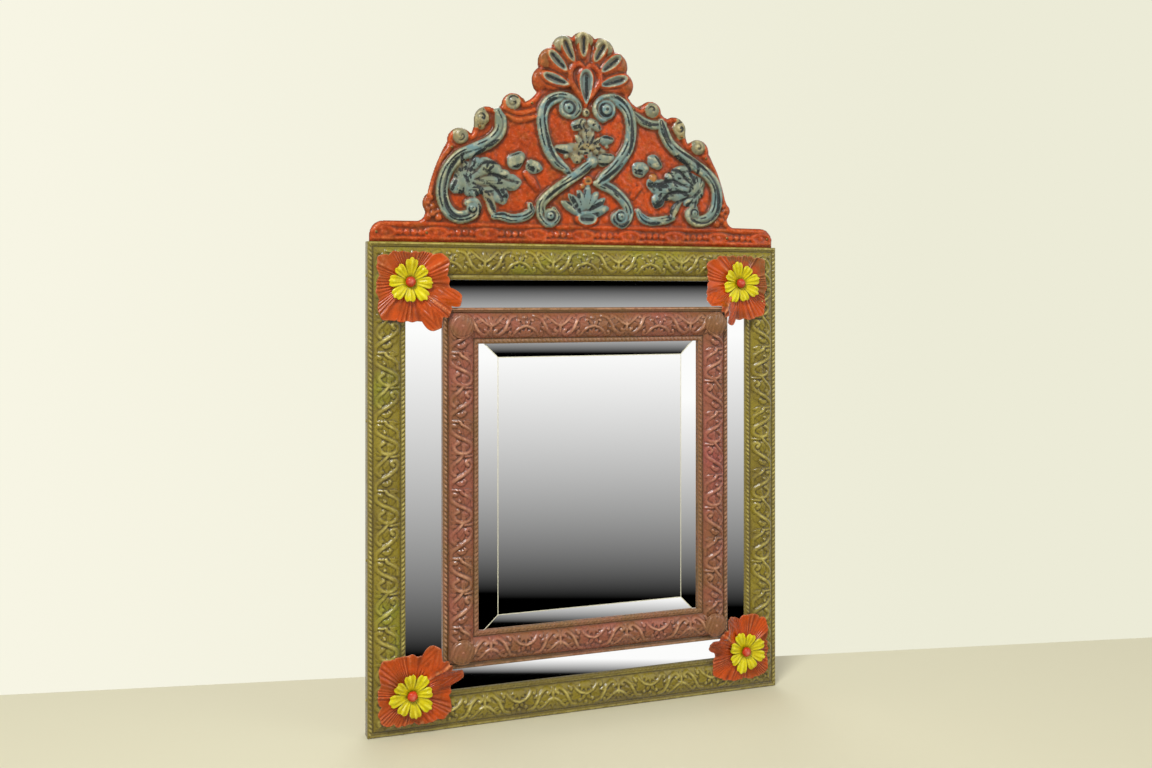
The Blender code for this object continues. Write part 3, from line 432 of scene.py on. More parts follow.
# The dirt colour lays specks and the painted shade in the hollows; the ridge colour is wear and painted
# highlight
OLIVE = pressed_paint(
    "olive_paint", paint=srgb(141, 125, 28), patch=srgb(121, 104, 28), stain=srgb(146, 154, 26),
    rub_and_highlight=srgb(216, 202, 116), dirt=srgb(48, 36, 12), edging=srgb(126, 110, 42), gloss=0.25,
)
for side in SIDES:
    feet = (14.4 if side == "top" else 6.0, 14.3)
    rope = (1.0, 1.0) if side in UPRIGHTS else (0.0, 0.3)
    moulding = press_side("olive_moulding_", side, (FRAME_X, FRAME_Z), OUTER_W, feet, (18.8, 18.8), 22.0, rope,
                          OLIVE, "outer_moulding_")
    # The strips mirror the room alone
    moulding.visible_glossy = False
    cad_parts["outer_rail_" + side].visible_glossy = False


# Mirror strips: four sloping strips of silvered glass between the two frames, bedded on the wedges and
# tucked under both mouldings. The nodes keep their shape and get silvered glass with old specks.
def silvered(name, tint):
    """Silvered glass: a clean mirror with a faint tint, and specks where the silver has gone."""
    material, tree, shader = new_material(name)
    specks = noise(tree, 900.0, 4.0, 0.7)
    patches = noise(tree, 35.0, 4.0)
    gone = times(tree, spread(tree, specks, 0.70, 0.78), spread(tree, patches, 0.52, 0.7))
    feed(tree, shader, {
        "Base Color": mix(tree, gone, tint, srgb(60, 58, 52)),
        "Metallic": spread(tree, gone, 0.0, 1.0, 1.0, 0.6),
        "Roughness": spread(tree, gone, 0.0, 1.0, 0.012, 0.3),
    })
    return material


SILVERED = silvered("silvered_glass", srgb(252, 252, 251))
for side in SIDES:
    dress_node("strip_mirror_" + side, SILVERED)


# Inner mouldings: the same pressed channel, narrower and higher, painted rose brown with tan ropes. They
# wrap the tall inner rails and lap over the edge of the centre glass.
INNER_X, INNER_Z = 140.0, 159.5
INNER_W = 32.0
# The dirt colour lays specks and the painted shade in the hollows; the ridge colour is wear and painted
# highlight
ROSE = pressed_paint(
    "rose_brown_paint", paint=srgb(152, 86, 66), patch=srgb(136, 86, 50), stain=srgb(164, 82, 76),
    rub_and_highlight=srgb(218, 166, 132), dirt=srgb(54, 30, 16), edging=srgb(126, 92, 50), gloss=0.25,
)
for side in SIDES:
    feet = (30.1, 35.6 if side in UPRIGHTS else 36.1)
    rope = (1.0, 0.7) if side in UPRIGHTS else (0.0, 0.5)
    press_side("rose_moulding_", side, (INNER_X, INNER_Z), INNER_W, feet, (37.3, 38.5), 42.0, rope,
               ROSE, "inner_moulding_")


# Centre glass: a bevelled plate, silvered at the back, held in the inner frame's rebate. The arrises of
# its bevel are ground, and pale strips on them and on the mitres are a painted highlight for the light they
# catch.
GLASS_X, GLASS_Z, BEVEL_W = 112.0, 137.0, 22.0
GLASS_FRONT, BEVEL_DROP = 37.0, 2.2
ARRIS, ARRIS_PROUD, ARRIS_SUNK = 0.42, 0.12, 0.05
MITRE_SEEN = 0.8
dress_node("centre_mirror", SILVERED)


def ground_arris_highlight():
    """Pale ground glass, lightened as a painted highlight, uneven where the wheel has slipped."""
    material, tree, shader = new_material("ground_arris_highlight")
    grains = noise(tree, 700.0, 3.0, 0.7)
    feed(tree, shader, {
        "Base Color": mix(tree, spread(tree, grains, 0.4, 0.6), srgb(238, 235, 212), srgb(206, 202, 178)),
        "Roughness": spread(tree, grains, 0.3, 0.7, 0.4, 0.65),
    })
    bump(tree, shader, grains, 0.2, 0.0001)
    return material


corners = [
    (sign_x * (GLASS_X - BEVEL_W), sign_z * (GLASS_Z - BEVEL_W))
    for sign_x, sign_z in ((-1, -1), (1, -1), (1, 1), (-1, 1))
]
runs = [((x0, z0, 0.0), (x1, z1, 0.0)) for (x0, z0), (x1, z1) in zip(corners, corners[1:] + corners[:1])]
for x, z in corners:
    end_x, end_z = (at + math.copysign(BEVEL_W * MITRE_SEEN, at) for at in (x, z))
    runs.append(((x, z, 0.0), (end_x, end_z, BEVEL_DROP * MITRE_SEEN)))
points, faces = [], []
for start, stop in runs:
    along = np.array(stop[:2]) - np.array(start[:2])
    across = np.array([-along[1], along[0]]) / np.linalg.norm(along) * ARRIS
    for x, z, drop in (start, stop):
        for step, proud in ((-1, -ARRIS_SUNK), (0, ARRIS_PROUD), (1, -ARRIS_SUNK)):
            points.append((x + step * across[0], -(GLASS_FRONT - drop + proud), z + step * across[1]))
    n = len(points) - 6
    faces += [(n, n + 1, n + 4, n + 3), (n + 1, n + 2, n + 5, n + 4)]
points, faces = np.array(points) * MM, np.array(faces)
for k, face in enumerate(faces):
    a, b, c = (points[index] for index in face[:3])
    if np.cross(b - a, c - a)[1] > 0:
        faces[k] = face[::-1]
# The pale strips are a painted highlight along the arrises and mitres
add_mesh("bevel_arris", points, faces, None, "frame", ground_arris_highlight(), [])


# Crest: one sheet pressed into a shell, crossed straps, scrolls, leaves and a beaded band, its edge
# turned back over the crest board. Brick red ground, blue-grey scrolls with black strokes, brassy wear
# and painted highlights on the high spots, dirt and painted shade in the hollows and under the turned edge.
GROUND, BOARD_FRONT, HEM = 14.4, 13.7, 3.5
GRID = 0.85
SHELL_H, SHELL_REACH, LOBE_TURN = 149, 46.5, 28.5


def rounded(knots, steps):
    """A closed line from knots of (x, y, bulge to the right on the way to the next knot)."""
    points = []
    for (x0, y0, bulge), (x1, y1, _) in zip(knots, knots[1:] + knots[:1]):
        if bulge == 0:
            points.append((x0, y0))
            continue
        chord = math.hypot(x1 - x0, y1 - y0)
        radius = (chord * chord / 4 + bulge * bulge) / (2 * bulge)
        centre_x = (x0 + x1) / 2 + (y1 - y0) / chord * (bulge - radius)
        centre_y = (y0 + y1) / 2 + (x0 - x1) / chord * (bulge - radius)
        first = math.atan2(y0 - centre_y, x0 - centre_x)
        turn = (math.atan2(y1 - centre_y, x1 - centre_x) - first) % math.tau
        turn -= math.tau if bulge < 0 else 0
        for k in range(steps):
            angle = first + turn * k / steps
            points.append((centre_x + abs(radius) * math.cos(angle), centre_y + abs(radius) * math.sin(angle)))
    return np.array(points)


def crest_line():
    """Outline of the crest in mm, as x and height above the frame's top edge."""
    knots = [(201, 0.3, 0), (201, 6.2, 3.6), (188.5, 18.7, 0)]
    knots += [
        (158, 19, -2), (151, 28, 3.5), (149, 44, 2), (131, 91, 9), (109, 99, -1),
        (106, 111, 7), (87, 123, -1), (80, 128, 9), (58, 131, -1.5),
    ]
    for k in range(4):
        angle = math.radians(90 - LOBE_TURN * 3.5 + LOBE_TURN * k)
        knots.append((SHELL_REACH * math.cos(angle), SHELL_H + SHELL_REACH * math.sin(angle), 6))
    bulges = [knot[2] for knot in knots[:-1]][::-1] + [0]
    mirrored = [(-x, h, bulge) for (x, h, _), bulge in zip(reversed(knots), bulges)]
    return rounded(knots + mirrored, 10)


def inside_line(x, y, line):
    """True where a point lies inside the closed line."""
    inside = np.zeros(x.shape, dtype=bool)
    for (x0, y0), (x1, y1) in zip(line, np.roll(line, -1, axis=0)):
        crosses = (y0 > y) != (y1 > y)
        at = x0 + (y - y0) * (x1 - x0) / (y1 - y0 if y1 != y0 else 1e-12)
        inside ^= crosses & (x < at)
    return inside


line = crest_line()
columns = np.arange(-203, 203.01, GRID)
rows = np.arange(-2, 203.01, GRID)
X, H = np.meshgrid(columns, rows)
from_edge, _ = to_line(X, H, line, closed=True)
from_edge = np.where(inside_line(X, H, line), from_edge, -from_edge)
rng = np.random.default_rng(7)
waves = rng.uniform(0, math.tau, 24)
RELIEF = 0.35 * np.sin(X / 5.1 + waves[0]) * np.sin(H / 4.3 + waves[1]) * np.sin((X + H) / 11 + waves[2])
BLUE, DARK, OCHRE = (np.zeros_like(X) for _ in range(3))


def window(points, margin):
    """The part of the grid round one point or more."""
    points = np.atleast_2d(np.array(points, dtype=float))
    low, high = points.min(axis=0) - margin, points.max(axis=0) + margin
    c0, c1 = np.searchsorted(columns, (low[0], high[0]))
    r0, r1 = np.searchsorted(rows, (low[1], high[1]))
    return np.s_[r0:r1, c0:c1]


def laid_along(x, h, angle, margin):
    """The grid round a place, and its lengths along a direction and off it."""
    area = window((x, h), margin)
    c, s = math.cos(angle), math.sin(angle)
    return area, (X[area] - x) * c + (H[area] - h) * s, -(X[area] - x) * s + (H[area] - h) * c


def disc(x, h, radius):
    """The grid round a place, and its distance from there as a share of the radius."""
    area = window((x, h), radius * 1.2)
    return area, np.hypot(X[area] - x, H[area] - h) / radius


def lay(layer, area, cover, amount):
    """Brings a layer of paint to an amount where the cover is 1, and leaves it where the cover is 0."""
    layer[area] = layer[area] * (1 - cover) + amount * cover


def raise_to(area, height, painted, strokes, ochre):
    """Lifts the sheet to a height over its ground and lays paint, black strokes and ochre on what rises."""
    top = height > RELIEF[area] - 0.3
    RELIEF[area] = np.maximum(RELIEF[area], height)
    cover = np.clip(height / 0.9, 0, 1) * top
    for layer, amount in ((BLUE, painted), (OCHRE, ochre), (DARK, np.clip(strokes, 0, 1))):
        lay(layer, area, cover, amount)


def dabs(place, pitch, seed, share):
    """Broken brush strokes along a length: 1 in a stroke, 0 between, with soft ends."""
    levels = np.random.default_rng(seed).uniform(0, 1, 400)
    return np.clip((np.interp(place / pitch, np.arange(400), levels) - 1 + share) * 6, 0, 1)


def strap(knots, half_width, height, painted, seed, ochre=0.0, black=1.0):
    """A raised strap with rounded edges and two grooves, and broken black strokes in the grooves."""
    path = curve_through(knots)
    area = window(path, half_width * 2)
    distance, place = to_line(X[area], H[area], path)
    heading = np.gradient(path, axis=0)
    lengths = np.concatenate([[0], np.cumsum(np.hypot(*np.diff(path, axis=0).T))])
    at_x, at_h = (np.interp(place, lengths, path[:, k]) for k in (0, 1))
    along_x, along_h = (np.interp(place, lengths, heading[:, k]) for k in (0, 1))
    side = np.sign(along_x * (H[area] - at_h) - along_h * (X[area] - at_x))
    end = np.minimum(place, place.max() - place)
    width = half_width * (0.6 + 0.4 * np.clip(end / 8, 0, 1))
    off = np.clip(distance / width, 0, 1) * side
    first, second = np.exp(-((off - 0.22) / 0.18) ** 2), np.exp(-((off + 0.45) / 0.13) ** 2)
    form = np.sqrt(np.clip(1 - np.abs(off) ** 4, 0, 1)) * (1 - 0.28 * first - 0.2 * second)
    drift = 0.22 + 0.2 * np.sin(place / 11 + seed)
    breadth = 0.21 + 0.09 * np.sin(place / 7.3 + 2 * seed)
    brush = np.exp(-((off - drift) / breadth) ** 2) * dabs(place + 7 * off, 13.0, seed, 0.82)
    strokes = np.maximum(brush, second ** 1.6 * dabs(place, 8.0, seed + 1, 0.7))
    worn_rim = 0.8 * painted * np.clip((np.abs(off) - 0.76) * 5, 0, 1)
    raise_to(area, height * form, painted, 1.5 * black * strokes, np.clip(ochre + worn_rim, 0, 1))


def leaf(x, h, long, broad, angle, height, painted, dark, ochre=0.0, veins=2):
    """A raised leaf, its middle at x and h, with creases and short black strokes in them."""
    area, along, off = laid_along(x, h, math.radians(angle), max(long, broad) * 1.15)
    scallop = 1 + 0.03 * np.cos(5 * np.arctan2(off / broad, along / long) + x)
    share = np.hypot(along / long, off / (broad * (1 - 0.25 * along / long))) / scallop
    form = np.sqrt(np.clip(1 - share ** 2.4, 0, 1))
    ribs = np.cos(off / broad * math.pi * veins + along / long * 1.6 + x)
    form = form * (1 - 0.3 * np.clip(ribs, 0, 1) ** 2 * np.clip(1.4 - share, 0, 1))
    marks = dabs(along + 60 + 9 * np.sign(off), 2.6, int(abs(x * 7 + h * 3)), 0.82)
    strokes = np.clip(ribs * 3.0 - 0.5, 0, 1) * np.clip(2.7 - 2.8 * share, 0, 1) * marks
    raise_to(area, height * form, painted, 1.4 * dark * strokes, ochre)


def hollow(x, h, long, broad, angle, height, dark, painted, ochre, taper=0.4):
    """A raised drop with a painted hollow in it, a black stroke along the hollow and a raised rim, which
    the sheet's wear and painted highlight lighten later.
    """
    area, along, off = laid_along(x, h, math.radians(angle), long * 1.3)
    share = np.hypot(along / long, off / (broad * (1 + taper * along / long)))
    form = np.clip(1.2 - np.abs(share - 0.9) / 0.26, 0, 1) ** 0.7
    floor = height * (0.46 + 0.26 * np.clip(share, 0, 1))
    lifted = height * form
    RELIEF[area] = np.maximum(lifted, np.where(share < 0.9, floor, RELIEF[area]))
    inner = np.clip((0.98 - share) * 8, 0, 1)
    stroke = np.exp(-((off + 0.1 * broad) / (0.26 * broad)) ** 4)
    stroke = stroke * np.clip((0.74 - np.abs(along / long)) * 5, 0, 1)
    for layer, amount in ((BLUE, painted), (OCHRE, ochre), (DARK, dark * stroke)):
        lay(layer, area, inner, amount)


def knob(x, h, radius, height, painted=0.0, dark=0.0, ochre=0.0):
    """A round boss, black in its middle where it is dark."""
    area, share = disc(x, h, radius)
    form = np.sqrt(np.clip(1 - share ** 2, 0, 1))
    raise_to(area, height * form, painted, np.clip((0.5 - share) * 5, 0, 1) * dark, ochre)


def volute(x, h, radius, height, turn, hand=0, painted=1.0, ochre=0.0, ink=1.0):
    """The round end of a strap: a disc with a groove round its raised middle, black in the groove. With a
    hand of 1 or -1 the groove winds out as a curl."""
    area, share = disc(x, h, radius)
    angle = np.arctan2(H[area] - h, X[area] - x)
    winding = (hand * angle + turn) % math.tau / math.tau if hand else 0.63 + 0.1 * np.sin(angle + turn)
    groove = np.exp(-((share - 0.2 - 0.6 * winding) / 0.13) ** 2)
    form = np.sqrt(np.clip(1 - share ** 4, 0, 1)) * (1 - 0.35 * groove) + 0.12 * np.exp(-(share / 0.3) ** 2)
    strokes = 1.3 * groove * np.clip(0.8 + np.sin(angle + turn), 0, 1) + np.clip((0.2 - share) * 9, 0, 1)
    rim_ochre = np.maximum(ochre, 0.7 * np.clip((share - 0.8) * 6, 0, 1))
    inside = share < 0.97
    for layer, amount in ((RELIEF, height * form), (BLUE, painted), (DARK, np.clip(ink * strokes, 0, 1)),
                          (OCHRE, rim_ochre)):
        layer[area] = np.where(inside, amount, layer[area])


def dab(x, h, long, broad, angle):
    """A short bent stroke of black on the blue-grey relief."""
    area, along, off = laid_along(x, h, angle, long * 1.4)
    bent = off + 0.14 * along ** 2 / long
    stroke = np.clip((1.15 - np.hypot(along / long, bent / broad)) * 4, 0, 1)
    DARK[area] = np.maximum(DARK[area], stroke * np.clip(BLUE[area] * 3 - 1.4, 0, 1))


# Hammered ground, the rim with its curled lobes, and the fine ridges beside it
for _ in range(900):
    knob(rng.uniform(-150, 150), rng.uniform(20, 135), rng.uniform(1.6, 3.6), rng.uniform(0.15, 0.55))
rim = np.clip(1 - np.abs(from_edge - 2.8) / 2.6, 0, 1) ** 0.6
RELIEF = np.maximum(RELIEF, 1.5 * rim)
for sign in (1, -1):
    knob(sign * 72, 131, 10, 2.4, ochre=0.25)
    volute(sign * 69.5, 130, 7.6, 3.4, turn=0.6, hand=sign, painted=0.7, ochre=0.6, ink=0.6)
    leaf(sign * 100, 114, 11, 6.5, 100 if sign == 1 else 80, 2.6, painted=0.75, dark=0.6, ochre=0.8)
    volute(sign * 99, 114, 7.4, 3.4, turn=1.2, hand=-sign, painted=0.75, ochre=0.75, ink=0.8)
    knob(sign * 119, 97, 8.0, 2.6, painted=0.75, ochre=0.85)
    volute(sign * 118.5, 96.5, 6.8, 3.2, turn=2.0, hand=sign, painted=0.75, ochre=0.8, ink=0.5)
    edge_ridge = [(sign * 126, 88), (sign * 139, 73), (sign * 146, 56), (sign * 149, 42)]
    strap(edge_ridge, 2.6, 2.2, painted=0.0, seed=3, ochre=0.12, black=0.0)
    knob(sign * 153, 36, 5.5, 2.6, dark=0.3, ochre=0.1)
    for x, h in (
        (149, 23), (144.5, 26), (149.5, 29.5), (144.5, 32), (148.5, 35.5), (139, 22.5), (146, 40), (148.5, 44),
    ):
        knob(sign * x, h, 3.0 - 0.5 * math.sin(5 * x), 3.1, ochre=0.15)
    for k in range(3):
        strap([(sign * (150 - 4 * k), 23 + 2 * k), (sign * (147 - 8 * k), 30 - k)], 1.7, 1.8, painted=0.0,
              seed=5, ochre=0.1, black=0.0)
strap([(-76, 118), (-64, 114), (-46, 118)], 2.4, 2.0, painted=0.0, seed=7, ochre=0.15, black=0.0)
strap([(-78, 124), (-63, 120), (-48, 124)], 2.2, 1.9, painted=0.0, seed=8, ochre=0.15, black=0.0)
strap([(50, 126), (60, 119), (72, 116), (83, 117)], 4.6, 2.8, painted=1.0, seed=9)

# Side scrolls with their acanthus, and the scrolls at the foot
strap([(99, 43), (94, 36), (91, 28)], 4.4, 2.6, painted=0.75, seed=12, ochre=0.5, black=0.3)
strap([(-99, 49), (-92, 40), (-89, 30), (-87, 24)], 4.4, 2.6, painted=0.75, seed=13, ochre=0.5, black=0.3)
strap([(92, 27), (80, 24.5), (67, 23.5), (59, 27), (55, 33)], 4.4, 3.0, painted=1.0, seed=31)
strap([(-88, 25), (-80, 25), (-70, 23), (-59, 25), (-52, 30), (-53, 36)], 4.4, 3.0, painted=1.0, seed=32)
strap([(79, 119), (83, 108), (89, 98), (100, 89), (114, 80), (128, 71), (137, 60), (139, 47), (136, 34),
       (127, 26), (116, 25), (110, 31), (115, 37)], 6.0, 4.0, painted=1.0, seed=41)
strap([(-84, 121), (-81, 111), (-83, 101), (-92, 92), (-106, 85), (-120, 78), (-130, 67), (-135, 55),
       (-136, 43), (-132, 31), (-124, 24), (-114, 24), (-106, 29), (-106, 36), (-112, 36)], 6.0, 4.0,
      painted=1.0, seed=43)
for x, h, long, broad, angle in (
    (106, 58, 21, 15, 10), (84, 53, 14, 10, -15), (-106, 59, 20, 15, -5), (-84, 57, 17, 11, 5),
):
    leaf(x, h, long, broad, angle, 2.5, painted=1.0, dark=0.8, ochre=0.25, veins=4)
for x, h, long, broad, angle in (
    (116, 57, 11, 10, 60), (101, 72, 12, 6.5, 20), (110, 67, 9, 5, -20), (99, 55, 12, 9, 170),
    (90, 63, 9, 7, 120), (84, 54, 9, 7, 190), (72, 58, 9, 7, 150), (76, 43, 7.5, 7, 250), (111, 44, 9, 6, 200),
    (-113, 56, 11, 10, 120), (-102, 72, 10, 6, 150), (-92, 68, 14, 9, -15), (-122, 51, 7, 8, 80),
    (-106, 48, 10, 6, 10), (-89, 54, 12, 9, 10), (-80, 62, 8, 6, 30), (-70, 56, 9, 8, 0), (-81, 43, 8, 8, -60),
):
    leaf(x, h, long, broad, angle, 3.0 + 0.02 * (abs(x) - 90) + 0.3 * math.sin(x), painted=1.0, dark=1.0,
         ochre=0.12)

# Each acanthus is creased out from its hub, with ink in the creases and short strokes over them
marks = np.random.default_rng(11)
for sign, count in ((1, 24), (-1, 30)):
    hub_x, hub_h = sign * 114, 54
    area = window((sign * 96, 57), 34)
    away_x, away_h = sign * (hub_x - X[area]), H[area] - hub_h
    away = np.hypot(away_x, away_h)
    spread_leaf = np.clip((1.1 - np.hypot(away_x - 17, away_h - 2) / 31) * 6, 0, 1)
    spread_leaf = spread_leaf * (RELIEF[area] > 1.0) * (away_x > -9)
    fan = np.arctan2(away_h, away_x + 4) * 7.6 + 0.05 * away + 0.5 * np.sin(away / 5)
    crease = (1 - np.abs(np.sin(fan))) ** 3 * np.clip((away - 5) / 9, 0, 1)
    RELIEF[area] += 0.7 * spread_leaf * (softened(RELIEF[area], 2) - RELIEF[area])
    RELIEF[area] -= spread_leaf * (1.0 * crease - 0.4 * np.abs(np.sin(fan)))
    inked = 1.5 * crease ** 0.6 * dabs(away + 40 + 9 * np.sin(fan), 4.5, 71 + sign, 0.85)
    DARK[area] = np.where(spread_leaf > 0.5, np.clip(np.maximum(0.55 * DARK[area], inked), 0, 1), DARK[area])
    for _ in range(count):
        x, h = sign * marks.uniform(76, 124), marks.uniform(42, 76)
        heading = math.atan2(h - hub_h, x - hub_x) - 0.8
        dab(x, h, marks.uniform(1.8, 4.6), marks.uniform(0.8, 1.5), heading + 0.5 * marks.uniform(0, math.pi))
for x, h, long, broad, angle in (
    (73, 80, 9, 6.2, -35), (58, 73, 9, 7.5, 15), (-66, 77, 10, 7.5, 42), (-49, 71, 8.5, 6.6, -8),
):
    leaf(x, h, long, broad, angle, 3.4, painted=0.95, dark=0.8, ochre=0.25, veins=1)
knob(71, 65, 4.2, 3.2, ochre=1.0)
strap([(-57, 65), (-52, 59), (-46, 51)], 3.8, 2.4, painted=0.0, seed=14, black=0.0)
strap([(58, 56), (53, 52), (50, 46)], 3.4, 1.6, painted=0.0, seed=15, black=0.0)

# Straps: on each side one from its volute down, and one from the middle out to the foot
strap([(-26, 78), (-18, 70), (-12, 64)], 4.4, 2.6, painted=0.8, seed=16, ochre=0.4)
strap([(-17, 126), (-12, 122), (-7, 128), (-13, 135), (-25, 137), (-36, 131), (-41, 119), (-40, 104),
       (-35, 88), (-27, 77), (-18, 70)], 5.6, 3.7, painted=1.0, seed=51)
strap([(12, 58), (26, 54), (37, 46), (44, 37), (45, 28), (39, 21), (32, 25), (36, 31)], 5.2, 3.5, painted=1.0,
      seed=53)
strap([(23, 127), (19, 121), (14, 128), (20, 136), (33, 137), (44, 128), (48, 113), (46, 96),
       (39, 83), (28, 70), (14, 58)], 6.0, 4.1, painted=1.0, seed=55)
strap([(8, 78), (-1, 70), (-9, 64), (-22, 55), (-34, 46), (-42, 37), (-42, 27), (-35, 20), (-28, 25),
       (-30, 32)], 5.0, 4.2, painted=1.0, seed=57)
for x, h, radius, turn in (
    (-16, 127, 9.6, 1), (22.5, 128, 10.2, 4), (-34, 26.5, 7.0, 2), (37.5, 27, 7.4, 5), (-108, 31.5, 6.0, 3),
    (114, 32, 6.0, 0),
):
    volute(x, h, radius, 4.5, turn=turn)

# Foliage in the middle, and the palmette over its oval
leaf(2, 99, 19, 9, 90, 1.9, painted=0.8, dark=0.0, ochre=0.7)
leaf(0, 88, 23, 8, 0, 1.9, painted=0.8, dark=0.0, ochre=0.7)
for x, h, long, broad, angle, painted, ochre in (
    (2, 91, 14, 6, 5, 0.7, 0.9), (-5, 113, 8.5, 5.2, 36, 0.8, 0.45), (10.5, 112.5, 8.5, 5.2, -32, 0.8, 0.45),
    (4, 105, 7, 4.6, 80, 0.7, 0.8), (-4, 97, 7.5, 3.4, 130, 0.75, 0.6), (1.5, 100, 8, 3.2, 104, 0.75, 0.6),
    (7.5, 100, 8, 3.2, 74, 0.75, 0.6), (12.5, 96.5, 7.5, 3.4, 44, 0.75, 0.6), (23, 99, 8, 4.8, 8, 0.8, 0.3),
    (-21, 89, 10.5, 4.8, 178, 0.8, 0.4),
    (13, 91, 5, 4.2, 20, 0.7, 0.7), (-8, 81, 6.5, 5, 150, 0.7, 0.7), (22, 81, 10.5, 6.4, 14, 0.85, 0.35),
):
    leaf(x, h, long, broad, angle, 3.1, painted=painted, dark=1.0, ochre=ochre, veins=1)
for _ in range(20):
    knob(marks.normal(2, 8), marks.uniform(82, 93), marks.uniform(1.4, 2.8), marks.uniform(2.8, 4.0),
         painted=0.8, ochre=marks.uniform(0.3, 0.9))
for _ in range(26):
    dab(marks.normal(2, 10), marks.uniform(80, 118), marks.uniform(1.2, 2.4), marks.uniform(0.7, 1.1),
        marks.uniform(0, math.pi))
knob(2, 124, 4.2, 3.6, painted=0.8, dark=1.0, ochre=0.7)
knob(8, 78, 6.2, 4.4, painted=1.0, ochre=0.1)
knob(2, 83, 2.4, 3.0, painted=0.3, dark=1.0)
hollow(4, 60, 4.0, 3.8, 0, 2.6, dark=0.5, painted=0.2, ochre=0.9, taper=0.0)
knob(-1, 55, 2.2, 2.4, ochre=0.9)
root_x, root_h = 2, 28
for tip_x, tip_h in ((-21, 39), (24, 35), (-14, 46), (20, 43), (-5, 50), (13, 49), (4, 55)):
    reach_x, reach_h = tip_x - root_x, tip_h - root_h
    leaf(root_x + reach_x * 0.58, root_h + reach_h * 0.58, math.hypot(reach_x, reach_h) * 0.5, 5.2,
         math.degrees(math.atan2(reach_h, reach_x)), 3.0, painted=1.0, dark=1.0, ochre=0.1, veins=1)
hollow(3, 24.5, 10.0, 6.2, 0, 3.4, dark=1.0, painted=1.0, ochre=0.05, taper=0.0)

# Shell: hollow rays between red lobes, and a heart-shaped ridge with a drop in it at the foot
for k in range(7):
    angle = 90 + LOBE_TURN * (k - 3)
    c, s = math.cos(math.radians(angle)), math.sin(math.radians(angle))
    knob(43 * c, SHELL_H + 43 * s, 9.5, 3.0, painted=0.75 if s > 0.8 else 0.2, ochre=0.1 + 0.8 * s)
    leaf(33 * c, SHELL_H + 33 * s, 19, 8.0, angle, 3.2, painted=0.0, dark=0.0, ochre=0.12, veins=1)
for x0, h0, x1, h1, ochre in (
    (-16, 149, -41, 157, 0.3), (-18, 162, -35, 179, 0.3), (-11, 171, -21, 192, 0.8), (-1, 176, -1, 198, 0.8),
    (10, 172, 21, 191, 0.7), (17, 163, 36, 179, 0.4), (16, 150, 43, 159, 0.3),
):
    hollow((x0 + x1) / 2, (h0 + h1) / 2, math.hypot(x1 - x0, h1 - h0) / 2 + 1.5, 5.0,
           math.degrees(math.atan2(h1 - h0, x1 - x0)), 4.6, dark=1.0, painted=0.75, ochre=ochre, taper=0.25)
area = window((1, 152), 24)
inside = np.hypot((X[area] - 1) / np.maximum(12.5 * np.clip((H[area] - 132) / 24, 0, 1) ** 0.7, 0.5),
                  np.clip(H[area] - 156, 0, 20) / 12) < 1
RELIEF[area] = np.where(inside, 2.2, RELIEF[area])
for layer in (BLUE, DARK, OCHRE):
    layer[area] = np.where(inside, 0, layer[area])
for side in ([(1, 133), (-8, 144), (-14, 155), (-12, 165), (-5, 169), (0, 165)],
             [(1, 133), (10, 144), (16, 155), (13, 164), (6, 168), (1, 164)]):
    strap(side, 2.8, 5.0, painted=0.0, seed=61, black=0.0)
hollow(1.5, 148, 18.0, 6.6, 90, 4.4, dark=1.0, painted=0.95, ochre=0.1, taper=0.55)

# Soot on the red of the shell and on the curled leaves at the foot of the rim
soot = np.clip((H - 128) / 14, 0, 1) * np.clip((62 - np.hypot(X, H - SHELL_H)) / 9, 0, 1)
soot = np.maximum(soot, np.exp(-((np.abs(X) - 149) / 8) ** 2 - ((H - 31) / 13) ** 2))
DARK = np.maximum(DARK, 0.30 * soot * (BLUE < 0.3))

# Base band: a ridge along its top, long rings, and beads between them
band = np.exp(-((H - 16.3) / 1.3) ** 2) * (np.abs(X) < 186)
RELIEF = np.maximum(RELIEF, 1.3 * band)
BAND_H, RING_PITCH, BEAD_PITCH = 8.6, 47, 6.4
for k in range(-4, 5):
    hollow(RING_PITCH * k, BAND_H, 11, 4.6, 0, 1.6, dark=0.0, painted=0.0, ochre=0.0, taper=0.0)
    knob(RING_PITCH * k, BAND_H, 3.0, 1.6)
    for n in range(4):
        knob(RING_PITCH * k + 14 + BEAD_PITCH * n, BAND_H + 0.3 * math.sin(9 * k + 5 * n), 2.7, 1.9)
RELIEF[H < 1.5] *= 0.3
turned_back = np.clip(1 - np.clip(from_edge, 0, 3) / 3, 0, 1)
RELIEF = softened(RELIEF, 1) - 1.6 * turned_back ** 2
# What stands proud takes wear and a painted highlight; what lies low takes dirt and painted shade
proud = RELIEF - softened(softened(RELIEF, 3), 3)
RUBBED_AND_HIGHLIT = np.clip(proud * 1.5 - 0.15, 0, 1)
GRIME_AND_SHADE = np.clip(-(RELIEF - softened(softened(RELIEF, 2), 2)) * 3.6 - 0.08, 0, 1)

